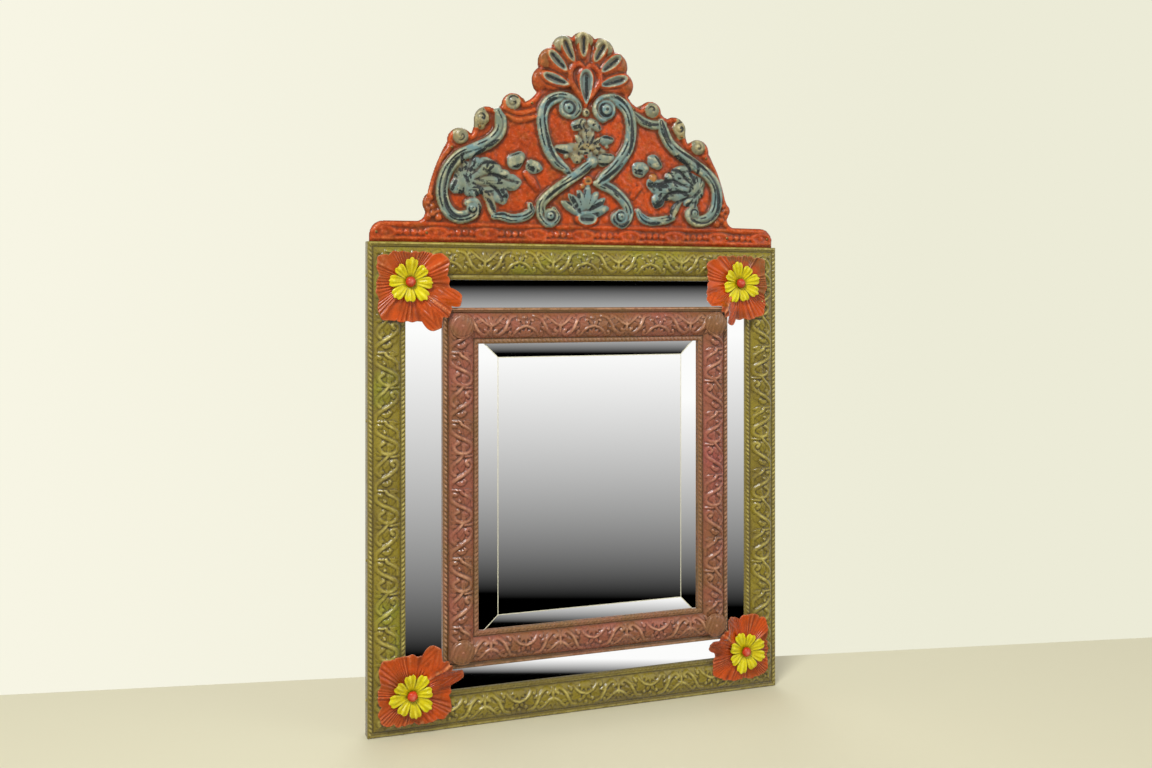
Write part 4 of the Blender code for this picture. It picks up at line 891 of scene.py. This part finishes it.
# Points near the edge are drawn onto the outline, and the edge is turned back and in over the board
slope_h, slope_x = np.gradient(from_edge, GRID)
reach = np.hypot(slope_x, slope_h) + 1e-9
pull = np.where(from_edge < 0, -from_edge, 0)
PX, PH = X + slope_x / reach * pull, H + slope_h / reach * pull
PH = np.where(H < 1.0, -0.4, PH)
kept = from_edge > -0.7 * GRID
cells = kept[:-1, :-1] & kept[:-1, 1:] & kept[1:, 1:] & kept[1:, :-1]
points = np.stack([PX, -(GROUND + RELIEF), FRAME_Z + PH], axis=-1).reshape(-1, 3) * MM
faces = grid_faces(*X.shape)[cells.ravel()]
used, faces = np.unique(faces, return_inverse=True)
faces = faces.reshape(-1, 4)
points = points[used]
masks = [layer.ravel()[used] for layer in (BLUE, DARK, OCHRE, RUBBED_AND_HIGHLIT)]
grime_and_shade = GRIME_AND_SHADE.ravel()[used]
faces = facing(points, faces)
edges = np.concatenate([faces[:, [k, (k + 1) % 4]] for k in range(4)])
key = np.sort(edges, axis=1)
_, first, count = np.unique(key, axis=0, return_index=True, return_counts=True)
border = edges[first[count == 1]]
ring, spots = np.unique(border, return_inverse=True)
spots = spots.reshape(-1, 2)
inward = np.stack([slope_x.ravel(), 0 * slope_x.ravel(), slope_h.ravel()], axis=-1)[used][ring]
back = points[ring].copy()
back[:, 1] = -BOARD_FRONT * MM
under = back + inward * HEM * MM
turn = len(points) + spots
inner = turn + len(ring)
walls = np.stack([border[:, 1], border[:, 0], turn[:, 0], turn[:, 1]], axis=-1)
hem = np.stack([turn[:, 1], turn[:, 0], inner[:, 0], inner[:, 1]], axis=-1)
points = np.concatenate([points, back, under])
masks = [np.concatenate([mask, 0.3 * mask[ring], 0 * mask[ring]]) for mask in masks]
# Painted shade on the turned-back edge, darkest on the hem under it
grime_and_shade = np.concatenate([grime_and_shade, 0.5 + 0 * back[:, 0], 1 + 0 * back[:, 0]])
faces = np.concatenate([faces, walls, hem])


def crest_paint():
    """Red ground, blue-grey relief, black strokes, brassy wear with painted highlights, and dirt with painted
    shade, laid on by the masks of the sheet.
    """
    material, tree, shader = new_material("crest_paint")
    mask = node(tree, "ShaderNodeAttribute", {"attribute_name": "paint"})
    blue = node(tree, "ShaderNodeSeparateColor", Color=mask)
    dark, ochre = blue.node.outputs[1:]
    rubbed_and_highlit = mask.node.outputs[3]
    dirt = node(tree, "ShaderNodeAttribute", {"attribute_name": "grime_and_shade"}, out=2)
    clouds = noise(tree, 30.0, 5.0)
    wear = noise(tree, 160.0, 5.0, 0.65)
    specks = noise(tree, 520.0, 3.0, 0.7)
    wash = noise(tree, 75.0, 6.0, 0.6)
    red = mix(tree, spread(tree, clouds, 0.4, 0.62), srgb(190, 70, 8), srgb(154, 56, 4))
    red = mix(tree, spread(tree, wash, 0.50, 0.68, 0.0, 0.6), red, srgb(148, 84, 28))
    flecks = noise(tree, 270.0, 3.0, 0.6)
    red = mix(tree, spread(tree, flecks, 0.54, 0.68, 0.0, 0.5), red, srgb(214, 108, 66))
    red = mix(tree, spread(tree, flecks, 0.46, 0.34, 0.0, 0.5), red, srgb(104, 38, 8))
    grey = mix(tree, spread(tree, clouds, 0.38, 0.64), srgb(106, 137, 141), srgb(122, 130, 106))
    colour = mix(tree, spread(tree, blue, 0.35, 0.6), red, grey)
    colour = mix(tree, times(tree, ochre, spread(tree, wear, 0.3, 0.6, 0.45, 1.0)), colour, srgb(146, 122, 66))
    # Dirt and painted shade in the hollows and on the turned edge
    colour = mix(tree, times(tree, dirt, spread(tree, wear, 0.25, 0.7, 0.45, 0.95)), colour, srgb(66, 34, 12))
    # Wear and painted highlight on the high spots, in lighter paint and cream
    wear_and_highlight = times(tree, rubbed_and_highlit, spread(tree, wear, 0.45, 0.68, 0.0, 0.8))
    worn_and_highlight_colour = mix(tree, spread(tree, blue, 0.3, 0.7), srgb(228, 120, 64), srgb(222, 212, 166))
    colour = mix(tree, wear_and_highlight, colour, worn_and_highlight_colour)
    strokes = times(tree, dark, spread(tree, specks, 0.30, 0.46))
    colour = mix(tree, spread(tree, strokes, 0.2, 0.6, 0.0, 0.95), colour, srgb(28, 32, 34))
    feed(tree, shader, {
        "Base Color": colour,
        "Roughness": spread(tree, wear, 0.3, 0.75, 0.12, 0.32),
        "Specular IOR Level": 0.28,
    })
    bump(tree, shader, times(tree, wash, wear), 0.6, 0.0016)
    return material


crest = add_mesh("painted_crest", points, faces, masks, "frame", crest_paint(), ["crest_sheet"])
layer = crest.data.attributes.new("grime_and_shade", "FLOAT", "POINT")
layer.data.foreach_set("value", np.clip(grime_and_shade, 0, 1).astype(np.float32))


# Corner sprays: thin leaves of sheet with chased veins, red, laid over the corners of the outer frame and
# bent up to the inner one. The tack of each flower holds them.
SHEET, HOLE = 0.6, 1.2
OPENING_X, OPENING_Z = FRAME_X - OUTER_W, FRAME_Z - OUTER_W
SIDE_STRIP_W, END_STRIP_W = OPENING_X - INNER_X, OPENING_Z - INNER_Z
SPRAY_DEPTH, SPRAY_CLIMB = 23.9, 10.6
CORNERS = {
    "top_left": (-1, 1, -166.5, 182.5), "top_right": (1, 1, 160.0, 182.5),
    "bottom_left": (-1, -1, -165.0, -182.5), "bottom_right": (1, -1, 166.0, -178.5),
}
SPRAY_OUT = {"top_left": (30, 27), "top_right": (29, 27), "bottom_left": (30, 26), "bottom_right": (25, 27)}
SPRAY_IN = 36.0
LEAF_REACH = {"top_left": 48, "top_right": 43, "bottom_left": 48, "bottom_right": 43}
LEAF_TURN = 0.35


def spray_edge(angle, x, z, axis, corner, seed):
    """Reach of a spray for angles from the mitre: a ragged square with two leaves beside the inner corner. It
    stops at the side of the inner frame, which it laps on the mitre only."""
    wobble = np.random.default_rng(seed + 3).uniform(-1, 1, 8)
    outward, leaf_reach = SPRAY_OUT[corner], LEAF_REACH[corner]
    off = np.minimum(angle, math.tau - angle)
    out_x, out_z = np.cos(axis + angle) * np.sign(x), np.sin(axis + angle) * np.sign(z)
    side_x = np.where(out_x > 0, outward[0], SPRAY_IN)
    side_z = np.where(out_z > 0, outward[1], SPRAY_IN)
    square = ((np.abs(out_x) / side_x) ** 5 + (np.abs(out_z) / side_z) ** 5) ** -0.2
    square = square * (0.90 + 0.10 * np.abs(np.sin(angle * 4.5 + wobble[0])) ** 0.4)
    rough = sum(0.42 * wobble[k] * np.sin((k * 3 + 7) * angle + 6 * wobble[k]) for k in range(8))
    leaves = leaf_reach * np.exp(-((off - LEAF_TURN) / 0.31) ** 4)
    lap = 6.0 * np.exp(-(off / 0.13) ** 4) - 0.8
    inward = (out_x < -1e-6) & (out_z < -1e-6)
    stop_x = (abs(x) - INNER_X + lap) / np.maximum(-out_x, 1e-6)
    stop_z = (abs(z) - INNER_Z + lap) / np.maximum(-out_z, 1e-6)
    stop = np.where(inward, np.maximum(stop_x, stop_z), 999)
    return np.minimum(np.maximum(square + rough, leaves), stop)


def spray_rise(px, pz, share, angle, away, corner, seed):
    """The spray lies on the outer crown, climbs to the inner frame, and has veins from its middle."""
    off = np.minimum(angle, math.tau - angle)
    over_side, over_end = (OPENING_X - np.abs(px)) / SIDE_STRIP_W, (OPENING_Z - np.abs(pz)) / END_STRIP_W
    climb = np.clip(np.minimum(over_side, over_end), 0, 1)
    over = np.exp(-(off / 0.22) ** 4) * np.clip((away - 20) / 14, 0, 1) ** 2
    on_leaf = np.exp(-((off - LEAF_TURN) / 0.2) ** 4) * np.clip((away - 22) / 8, 0, 1)
    group = 6.0 * np.sin(3 * angle + seed) + 3.5 * np.sin(7 * angle + 1.7 * seed)
    fan = angle * 50 + group + 2.6 * share ** 2 * np.sin(5 * angle + seed) + 1.4 * share * np.sin(11 * angle)
    veins = np.cos(fan) * (0.7 + 0.3 * np.sin(9 * angle + 4 * share + seed)) * (1 - on_leaf)
    veins = veins + 0.75 * on_leaf * np.cos(1.7 * np.abs(off - LEAF_TURN) * away + 0.5 * away)
    amount = np.clip((away - 9) / 6, 0, 1)
    curl = np.clip((share - 0.8) / 0.2, 0, 1) ** 2 * np.sin(angle * 7 + 0.7)
    bulge = on_leaf * np.clip(1 - ((off - LEAF_TURN) / 0.24) ** 2, 0, 1)
    bulge = bulge * np.sin(np.pi * np.clip((away - 22) / 34, 0, 1))
    midrib = np.exp(-(off * away / 1.3) ** 2) * amount
    deep = SPRAY_DEPTH + SPRAY_CLIMB * climb ** 2.5 + 5.0 * over
    deep = deep + amount * (0.42 * veins + 0.6 * np.cos(angle * 5 + seed))
    deep = deep + 0.7 * np.abs(curl) + 2.0 * bulge + 0.7 * midrib
    # Vein ridges, midrib and rim take wear and a painted highlight
    rubbed_and_highlit = np.maximum(np.clip(veins, 0, 1) ** 4 * 0.7 * amount, midrib)
    rubbed_and_highlit = np.maximum(rubbed_and_highlit, 0.5 * np.clip((share - 0.95) * 20, 0, 1))
    seam = np.exp(-((off - 0.06) * away / 1.5) ** 2) + np.exp(-((off - 0.62) * away / 2.2) ** 2)
    dark = np.maximum(np.clip(-veins, 0, 1) ** 2 * amount, 0.9 * seam * np.clip((away - 20) / 8, 0, 1))
    patch = np.clip((share - 0.6) * 4, 0, 1) * (off > 1.9) * (0.9 if corner == "top_right" else 0.25)
    return deep, [rubbed_and_highlit, dark, patch]


def sheet_piece(name, x, z, axis, edge, rise, rows, columns, material, nodes):
    """A pressed sheet round a hole, with a back face and a rim: edge gives its reach, and rise its depth
    and masks for a grid of reach shares and angles."""
    angle = np.linspace(0, math.tau, columns, endpoint=False)[None, :]
    share = np.linspace(0, 1, rows)[:, None]
    away = HOLE + (edge(angle, x, z, axis) - HOLE) * share
    px, pz = x + away * np.cos(axis + angle), z + away * np.sin(axis + angle)
    deep, masks = rise(px, pz, share + 0 * angle, angle + 0 * share, away)
    front = np.stack([px, -deep, pz], axis=-1).reshape(-1, 3)
    behind = front + np.array([0, SHEET, 0])
    points = np.concatenate([front, behind]) * MM
    faces = facing(points, grid_faces(rows, columns, wrap=True))
    backs = faces[:, ::-1] + rows * columns
    outer = (rows - 1) * columns + np.arange(columns)
    after = np.roll(outer, -1)
    rim = np.stack([outer, after, after + rows * columns, outer + rows * columns], axis=-1)
    middle = points[: rows * columns].mean(axis=0)
    a, b, c = (points[rim[:, k]] for k in range(3))
    outward = (np.cross(b - a, c - a) * (a - middle)).sum(axis=1).sum() > 0
    rim = rim if outward else rim[:, ::-1]
    masks = [np.concatenate([mask.ravel(), 0 * mask.ravel()]) for mask in masks]
    return add_mesh(name, points, np.concatenate([faces, backs, rim]), masks, "frame", material, nodes)


def spray_paint(name, paint, second, rub_and_highlight, vein, stain):
    """Gloss paint on thin sheet. The attribute paint holds ridges with wear and a painted highlight, dark
    veins and clefts, and stained patches; on the flowers the clefts and the patch round the tack are painted
    shade.
    """
    material, tree, shader = new_material(name)
    mask = node(tree, "ShaderNodeAttribute", {"attribute_name": "paint"})
    rubbed_and_highlit = node(tree, "ShaderNodeSeparateColor", Color=mask)
    veins, patch = rubbed_and_highlit.node.outputs[1:]
    clouds = noise(tree, 48.0, 5.0)
    wear = noise(tree, 210.0, 5.0, 0.65)
    specks = noise(tree, 650.0, 3.0, 0.7)
    colour = mix(tree, spread(tree, clouds, 0.38, 0.66), paint, second)
    colour = mix(tree, times(tree, patch, spread(tree, wear, 0.3, 0.6, 0.4, 1.0)), colour, stain)
    colour = mix(tree, times(tree, veins, spread(tree, wear, 0.3, 0.7, 0.3, 0.9)), colour, vein)
    # Wear and painted highlight on the ridges
    wear_and_highlight = times(tree, rubbed_and_highlit, spread(tree, wear, 0.4, 0.62, 0.1, 0.9))
    colour = mix(tree, wear_and_highlight, colour, rub_and_highlight)
    feed(tree, shader, {
        "Base Color": colour,
        "Roughness": spread(tree, wear, 0.3, 0.75, 0.18, 0.38),
        "Specular IOR Level": 0.28,
    })
    bump(tree, shader, times(tree, specks, wear), 0.3, 0.0004)
    return material


SPRAY_RED = spray_paint(
    "spray_paint", paint=srgb(200, 78, 12), second=srgb(150, 66, 16), rub_and_highlight=srgb(238, 154, 104),
    vein=srgb(84, 32, 10), stain=srgb(122, 84, 42),
)
for seed, (corner, (sign_x, sign_z, x, z)) in enumerate(CORNERS.items()):
    axis = math.atan2(sign_z * INNER_Z - z, sign_x * INNER_X - x)
    spray = sheet_piece("leaf_spray_" + corner, x, z, axis, partial(spray_edge, corner=corner, seed=seed),
                        partial(spray_rise, corner=corner, seed=seed), 44, 560, SPRAY_RED,
                        ["corner_spray_" + corner])
    # As with the olive mouldings, the strips don't mirror it
    spray.visible_glossy = False


# Flowers: eight cupped petals each, pressed with grooves in one thin sheet and painted yellow. They lie on
# the sprays, and the same tacks hold them.
FLOWER_DEPTH, FLOWER_REACH = 24.0, 20.2
# The stain colour is painted shade on the middle round the tack; the vein colour darkens the grooves and, as
# painted shade, the clefts
YELLOW = spray_paint(
    "yellow_paint", paint=srgb(222, 211, 2), second=srgb(200, 180, 2), rub_and_highlight=srgb(246, 240, 88),
    vein=srgb(92, 78, 6), stain=srgb(96, 76, 18),
)


def across_petal(angle):
    """0 on the middle of a petal and 1 in the cleft beside it."""
    return np.abs((angle * 4 / math.pi + 0.5) % 1 - 0.5) * 2


def petal_edge(angle, x, z, axis):
    """Reach of the flower: eight uneven petals, notched beside their tips."""
    across = across_petal(angle)
    uneven = 0.06 * np.sin(2.4 * (np.floor(angle * 4 / math.pi + 0.5) % 8) + x)
    notch = 0.07 * np.exp(-((across - 0.2 - 2 * uneven) / 0.16) ** 2)
    share = 0.55 + (0.44 + uneven) * (1 - across ** 2.4) ** 0.5 - notch
    return FLOWER_REACH * share + 0.5 * np.sin(angle * 3 + x)


def petal_rise(px, pz, share, angle, away):
    """A cup of eight petals: deep clefts between them with painted shade, three grooves along each, and a low
    middle darkened with painted shade round the tack.
    """
    across = across_petal(angle)
    grooves = np.cos(across * math.pi * 2.5)
    lift = np.clip((share - 0.25) / 0.5, 0, 1)
    deep = FLOWER_DEPTH + 0.3 + 4.4 * share ** 1.3 + lift * (1.9 * (1 - across ** 3) - 1.0 + 0.4 * grooves)
    deep = deep - 1.6 * np.clip((share - 0.7) / 0.3, 0, 1) ** 2
    # Painted shade in the clefts, darker in the grooves, and painted highlight on the ridges between grooves
    cleft = np.clip((across - 0.72) * 4, 0, 1) * np.clip((share - 0.2) * 4, 0, 1)
    rubbed_and_highlit = np.clip(grooves, 0, 1) ** 2 * lift * 0.8
    dark = np.maximum(cleft, 0.7 * np.clip(-grooves, 0, 1) ** 2 * lift * (1 - 0.5 * share))
    return deep, [rubbed_and_highlit * (1 - cleft), dark, np.clip(1.8 - share * 4.6, 0, 1)]


for corner, (sign_x, sign_z, x, z) in CORNERS.items():
    turn = 0.2 + 0.15 * sign_x - 0.1 * sign_z
    sheet_piece("petals_" + corner, x, z, turn, petal_edge, petal_rise, 30, 320, YELLOW,
                ["flower_" + corner])


# Tacks: domed heads of turned metal, painted red, each with its shank driven through flower and spray into
# the wedge below.
def turned_piece(name, profile, x, z, depth, columns, material, nodes, dents=0.0, pleats=0.0, forward=1):
    """A turned or pressed round piece whose profile of (radius, height) runs from its tip to its end."""
    profile = np.array(profile, dtype=float)
    angle = np.linspace(0, math.tau, columns, endpoint=False)[None, :]
    radius, height = profile[:, :1], profile[:, 1:]
    uneven = 1 + dents * np.sin(3 * angle + x) * np.sin(angle * 2 + z)
    px, pz = x + radius * np.cos(angle) * uneven, z + radius * np.sin(angle) * uneven
    slant = radius * np.sin(angle - 0.9 - 0.03 * radius)
    folds = np.cos(1.5 * slant + 0.8 * np.sin(0.4 * slant + x)) * np.clip((radius - 2) / 4, 0, 1)
    deep = depth + forward * (height + dents * radius * 0.15 * np.cos(angle + x) + pleats * folds)
    points = np.stack([px, -deep, pz], axis=-1).reshape(-1, 3) * MM
    faces = grid_faces(len(profile), columns, wrap=True)
    a, b, c = (points[faces[:, k]] for k in range(3))
    centre = np.array([x, -depth, z]) * MM
    if (np.cross(b - a, c - a) * (a - centre)).sum() < 0:
        faces = faces[:, ::-1]
    # The crown of a head is lightened as wear and painted highlight; pleated heads take it on their folds, and
    # painted shade in the troughs
    rubbed_and_highlit, dark, patch = np.linspace(1, 0, len(profile))[:, None] ** 6 + 0 * folds, 0 * folds, 0 * folds
    if pleats:
        rubbed_and_highlit, dark = 0.2 * np.clip(folds, 0, 1) ** 4, 0.3 * np.clip(-folds, 0, 1) ** 3
        patch = 0.45 + 0 * folds
    masks = [mask.ravel() for mask in (rubbed_and_highlit, dark, patch)]
    return add_mesh(name, points, faces, masks, "frame", material, nodes)


def dome(radius, height, first, steps):
    """Profile of a domed head, from near its tip to its rim."""
    turns = np.linspace(first, math.pi / 2, steps)
    return [(radius * math.sin(turn), height * math.cos(turn)) for turn in turns]


TACK_RED = spray_paint(
    "tack_paint", paint=srgb(206, 58, 26), second=srgb(176, 48, 24), rub_and_highlight=srgb(238, 170, 148),
    vein=srgb(96, 24, 12), stain=srgb(120, 60, 30),
)
TACK = dome(4.6, 4.0, 0.02, 10) + [(4.2, -0.3), (1.0, -0.3), (1.0, -15.0), (0.1, -17.0)]
TACK_DEPTH = FLOWER_DEPTH + 2.2
for corner, (_, _, x, z) in CORNERS.items():
    turned_piece("red_tack_" + corner, TACK, x, z, TACK_DEPTH, 40, TACK_RED,
                 ["flower_tack_" + corner], dents=0.05)


# Rosettes: round bosses of the rose-brown sheet over the mitres of the inner frame, each with a hollow
# rim, and a brass pin under the paint through the middle into the rails.
ROSETTE_X, ROSETTE_Z, ROSETTE_DEPTH = 124.0, 143.5, 42.3
NAIL_DEPTH = 44.4


def rosette_form():
    """Profile of a boss: a low dome, a ring pressed in near its rim, and the edge turned under."""
    radius = np.linspace(0.05, 11.0, 34)
    ring = -0.5 * np.exp(-((radius - 9.6) / 0.6) ** 2)
    height = 2.9 * np.sqrt(np.clip(1 - (radius / 11.4) ** 2, 0, 1)) + ring
    return list(zip(radius, height)) + [(11.0, -0.1), (9.0, -0.2)]


def brass_metal():
    """Brass, dulled in patches."""
    material, tree, shader = new_material("brass")
    wear = noise(tree, 300.0, 5.0, 0.65)
    brass = mix(tree, spread(tree, wear, 0.35, 0.65), srgb(150, 116, 62), srgb(96, 72, 44))
    feed(tree, shader, {
        "Base Color": brass,
        "Metallic": 0.9,
        "Roughness": spread(tree, wear, 0.3, 0.7, 0.28, 0.5),
    })
    bump(tree, shader, wear, 0.3, 0.0002)
    return material


BRASS = brass_metal()
PIN_HEAD = dome(2.0, 1.1, 0.03, 6)
NAIL = PIN_HEAD + [(0.8, -0.1), (0.8, -10.0), (0.1, -11.0)]
for corner, (sign_x, sign_z, _, _) in CORNERS.items():
    x, z = sign_x * ROSETTE_X, sign_z * ROSETTE_Z
    turned_piece("rosette_boss_" + corner, rosette_form(), x, z, ROSETTE_DEPTH, 72, ROSE,
                 ["corner_rosette_" + corner], dents=0.035, pleats=0.16)
    turned_piece("rosette_nail_" + corner, NAIL, x, z, NAIL_DEPTH, 20, ROSE, ["rosette_pin_" + corner])


# Small pins: brass ones that hold the crest's edge to its board, painted ones through the outer feet of
# the olive mouldings into the rails, and steel nails in the back board.
def steel_metal():
    """Dull steel with rust in places."""
    material, tree, shader = new_material("dull_steel")
    wear = noise(tree, 240.0, 5.0, 0.65)
    rust = noise(tree, 90.0, 6.0, 0.6)
    steel = mix(tree, spread(tree, wear, 0.35, 0.65), srgb(150, 147, 140), srgb(98, 95, 90))
    rusty = spread(tree, rust, 0.52, 0.66, 0.0, 0.8)
    feed(tree, shader, {
        "Base Color": mix(tree, rusty, steel, srgb(104, 62, 36)),
        "Metallic": spread(tree, rusty, 0.0, 0.8, 0.95, 0.2),
        "Roughness": spread(tree, rust, 0.35, 0.7, 0.32, 0.75),
    })
    bump(tree, shader, times(tree, rust, wear), 0.4, 0.0003)
    return material


STEEL = steel_metal()
CREST_PIN = [(radius * 0.7, height * 0.8) for radius, height in PIN_HEAD]
pins = [(sign * x, h) for x, h in ((150, 8.5), (127, 86), (101, 106), (51, 130)) for sign in (1, -1)]
for k, (x, h) in enumerate(pins + [(-195, 8.5), (195, 8.5)]):
    proud = GROUND + RELIEF[np.searchsorted(rows, h), np.searchsorted(columns, x)] - 0.1
    turned_piece("crest_pin_%d" % k, CREST_PIN, x, FRAME_Z + h, proud, 14, BRASS, [])

SIDE_PIN_DEPTH, SIDE_PIN_SIZE = 11.0, 0.75
around = np.linspace(0, math.tau, 14, endpoint=False)[None, :]
radius, proud = (SIDE_PIN_SIZE * np.array(PIN_HEAD)[:, k:k + 1] for k in (0, 1))
for side in UPRIGHTS:
    for k, z in enumerate((-186.0, -63.0, 60.0, 188.0)):
        points = on_side(side, FRAME_X - 0.05 + proud + 0 * around, z + radius * np.cos(around),
                         SIDE_PIN_DEPTH + radius * np.sin(around))
        faces = grid_faces(len(PIN_HEAD), 14, wrap=True)[:, ::-1 if side == "left" else 1]
        # The crown of each head takes wear and a painted highlight
        rubbed_and_highlit = (1 - np.linspace(0, 1, len(PIN_HEAD))[:, None] + 0 * around).ravel()
        masks = [rubbed_and_highlit, 0 * rubbed_and_highlit, 1 + 0 * rubbed_and_highlit]
        add_mesh("moulding_pin_%s_%d" % (side, k), points, faces, masks, "frame", OLIVE, [])

NAIL_HEAD = dome(2.2, 0.5, 0.03, 6)
nails = [(x, z) for x in (-185, -62, 62, 185) for z in (-200, 200)]
nails += [(x, z) for x in (-185, 185) for z in (-70, 70)]
for k, (x, z) in enumerate(nails):
    turned_piece("back_nail_%d" % k, NAIL_HEAD, x, z, 0.0, 14, STEEL, [], forward=-1)


# Hanger: a steel plate rolled round a wire ring, which turns in it, and screwed to the back of the crest
# board. The nodes keep their shape and get dull steel.
for name in ("hanger_plate", "hanger_ring", "hanger_screw_lower", "hanger_screw_upper"):
    dress_node(name, STEEL)


# Stage: pale floor under the bottom edge and a plain pale room, with soft lamps. The glass shows a plain
# grey room, and a fall-off from light to dark for each way that a pane looks, as flags and soft boxes give.
FLOOR_REACH, FAR_LEFT, FAR_RIGHT, FLOOR_GAP = 4, 0.915, -0.686, 0.0003
floor_mesh = bpy.data.meshes.new("floor")
floor_mesh.from_pydata([
    (-FLOOR_REACH, -FLOOR_REACH, 0), (FLOOR_REACH, -FLOOR_REACH, 0), (FLOOR_REACH, FAR_RIGHT, 0),
    (-FLOOR_REACH, FAR_LEFT, 0),
], [], [(0, 1, 2, 3)])
floor = bpy.data.objects.new("floor", floor_mesh)
floor.location.z = -FRAME_Z * MM - FLOOR_GAP
floor.visible_glossy = False
floor_paint, floor_tree, floor_shader = new_material("floor")
feed(floor_tree, floor_shader, {
    "Base Color": srgb(218, 213, 184),
    "Roughness": 0.7,
})
floor_mesh.materials.append(floor_paint)
scene.collection.objects.link(floor)
floor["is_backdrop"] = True

world = bpy.data.worlds.new("room")
world.use_nodes = True
scene.world = world
tree = world.node_tree
tree.nodes.clear()
heading = node(tree, "ShaderNodeTexCoord", out=0)
sideways = node(tree, "ShaderNodeSeparateXYZ", Vector=heading, out=0)
forwards, height = sideways.node.outputs[1], sideways.node.outputs[2]
YAW = math.radians(20.2)  # of the camera
FORWARD = Vector((math.sin(YAW), math.cos(YAW), 0))


def falloff(normal, light, dark):
    """Grey level of the room as a pane with this normal shows it, light and dark at these view slopes."""
    normal = Vector(normal).normalized()
    rises, runs = (axis - 2 * axis.dot(normal) * normal for axis in (Vector((0, 0, 1)), FORWARD))
    parts = []
    for axis in (rises, runs):
        parts.append(node(tree, "ShaderNodeVectorMath", {"operation": "DOT_PRODUCT"}, out=1, Vector=heading))
        feed(tree, parts[-1].node, {1: axis})
    return spread(tree, worked_out(tree, "DIVIDE", *parts), dark, light)


# Panes: the ways that they look, sideways and up, then their normals and their light and dark slopes
STRIP_RISE = 15
STRIP_SIDE, STRIP_END, BEVEL = STRIP_RISE / SIDE_STRIP_W, STRIP_RISE / END_STRIP_W, BEVEL_DROP / BEVEL_W
FADE_IN, FADE_OUT = 0.01, 0.12
level = spread(tree, height, -0.6, 0.3, 0.42, 0.92)
for left, right, low, high, normal, light, dark in (
    (0.271, 0.428, -0.265, -0.049, (0, -1, 0), -0.046, -0.262),
    (0.062, 0.085, -0.286, -0.031, (-BEVEL, -1, 0), -0.052, -0.257),
    (-0.671, -0.611, -0.330, 0.016, (-STRIP_SIDE, -1, 0), -0.029, -0.311),
    (0.577, 0.613, -0.269, -0.029, (BEVEL, -1, 0), -0.089, -0.259),
    (0.943, 0.992, -0.301, 0.014, (STRIP_SIDE, -1, 0), -0.033, -0.269),
    (0.261, 0.444, 0.129, 0.161, (0, -1, BEVEL), -0.0238, -0.0486),
    (0.204, 0.485, 0.768, 0.871, (0, -1, STRIP_END), -0.0365, 0.0100),
    (0.250, 0.431, -0.463, -0.415, (0, -1, -BEVEL), -0.2613, -0.2826),
    (0.193, 0.466, -0.970, -0.872, (0, -1, -STRIP_END), -0.3142, -0.3268),
):
    share = spread(tree, forwards, 0.0, -0.08)
    for measure, first, last in ((sideways, left, right), (height, low, high)):
        for end, way in ((first, -1), (last, 1)):
            share = times(tree, share, spread(tree, measure, end + way * FADE_OUT, end + way * FADE_IN))
    level = mix(tree, share, level, falloff(normal, light, dark))
pale = mix(tree, spread(tree, sideways, -0.1, 0.6), srgb(247, 245, 228), srgb(236, 235, 215))
seen = node(tree, "ShaderNodeBackground", Color=pale, Strength=1.0)
lit = node(tree, "ShaderNodeBackground", Color=srgb(244, 242, 234), Strength=0.45)
mirrored = node(tree, "ShaderNodeBackground", Color=level, Strength=1.0)
rays = tree.nodes.new("ShaderNodeLightPath").outputs
unseen = node(tree, "ShaderNodeMixShader")
feed(tree, unseen.node, {0: rays["Is Glossy Ray"], 1: lit, 2: mirrored})
room = node(tree, "ShaderNodeMixShader")
feed(tree, room.node, {0: rays["Is Camera Ray"], 1: unseen, 2: seen})
feed(tree, tree.nodes.new("ShaderNodeOutputWorld"), {"Surface": room})

AIM = Vector((0, 0, 0.08))
for name, place, size, watts in (
    ("key", (-0.95, -1.25, 1.7), 0.6, 36.0),
    ("fill", (1.5, -1.6, 0.9), 1.4, 8.0),
    ("back", (0.4, 1.6, 1.4), 1.4, 10.0),
):
    light = bpy.data.lights.new(name, "AREA")
    light.shape = "DISK"
    light.size = size
    light.energy = watts
    lamp = bpy.data.objects.new(name, light)
    lamp.location = place
    lamp.rotation_euler = (AIM - lamp.location).to_track_quat("-Z", "Y").to_euler()
    scene.collection.objects.link(lamp)

camera_data = bpy.data.cameras.new("camera")
camera_data.lens = 36
camera_data.sensor_width = 36
camera_data.shift_y = -0.0755
camera = bpy.data.objects.new("camera", camera_data)
camera.location = (-0.380, -1.027, 0.169)
camera.rotation_euler = (math.radians(90), 0, -YAW)
scene.collection.objects.link(camera)
scene.camera = camera

low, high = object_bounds()
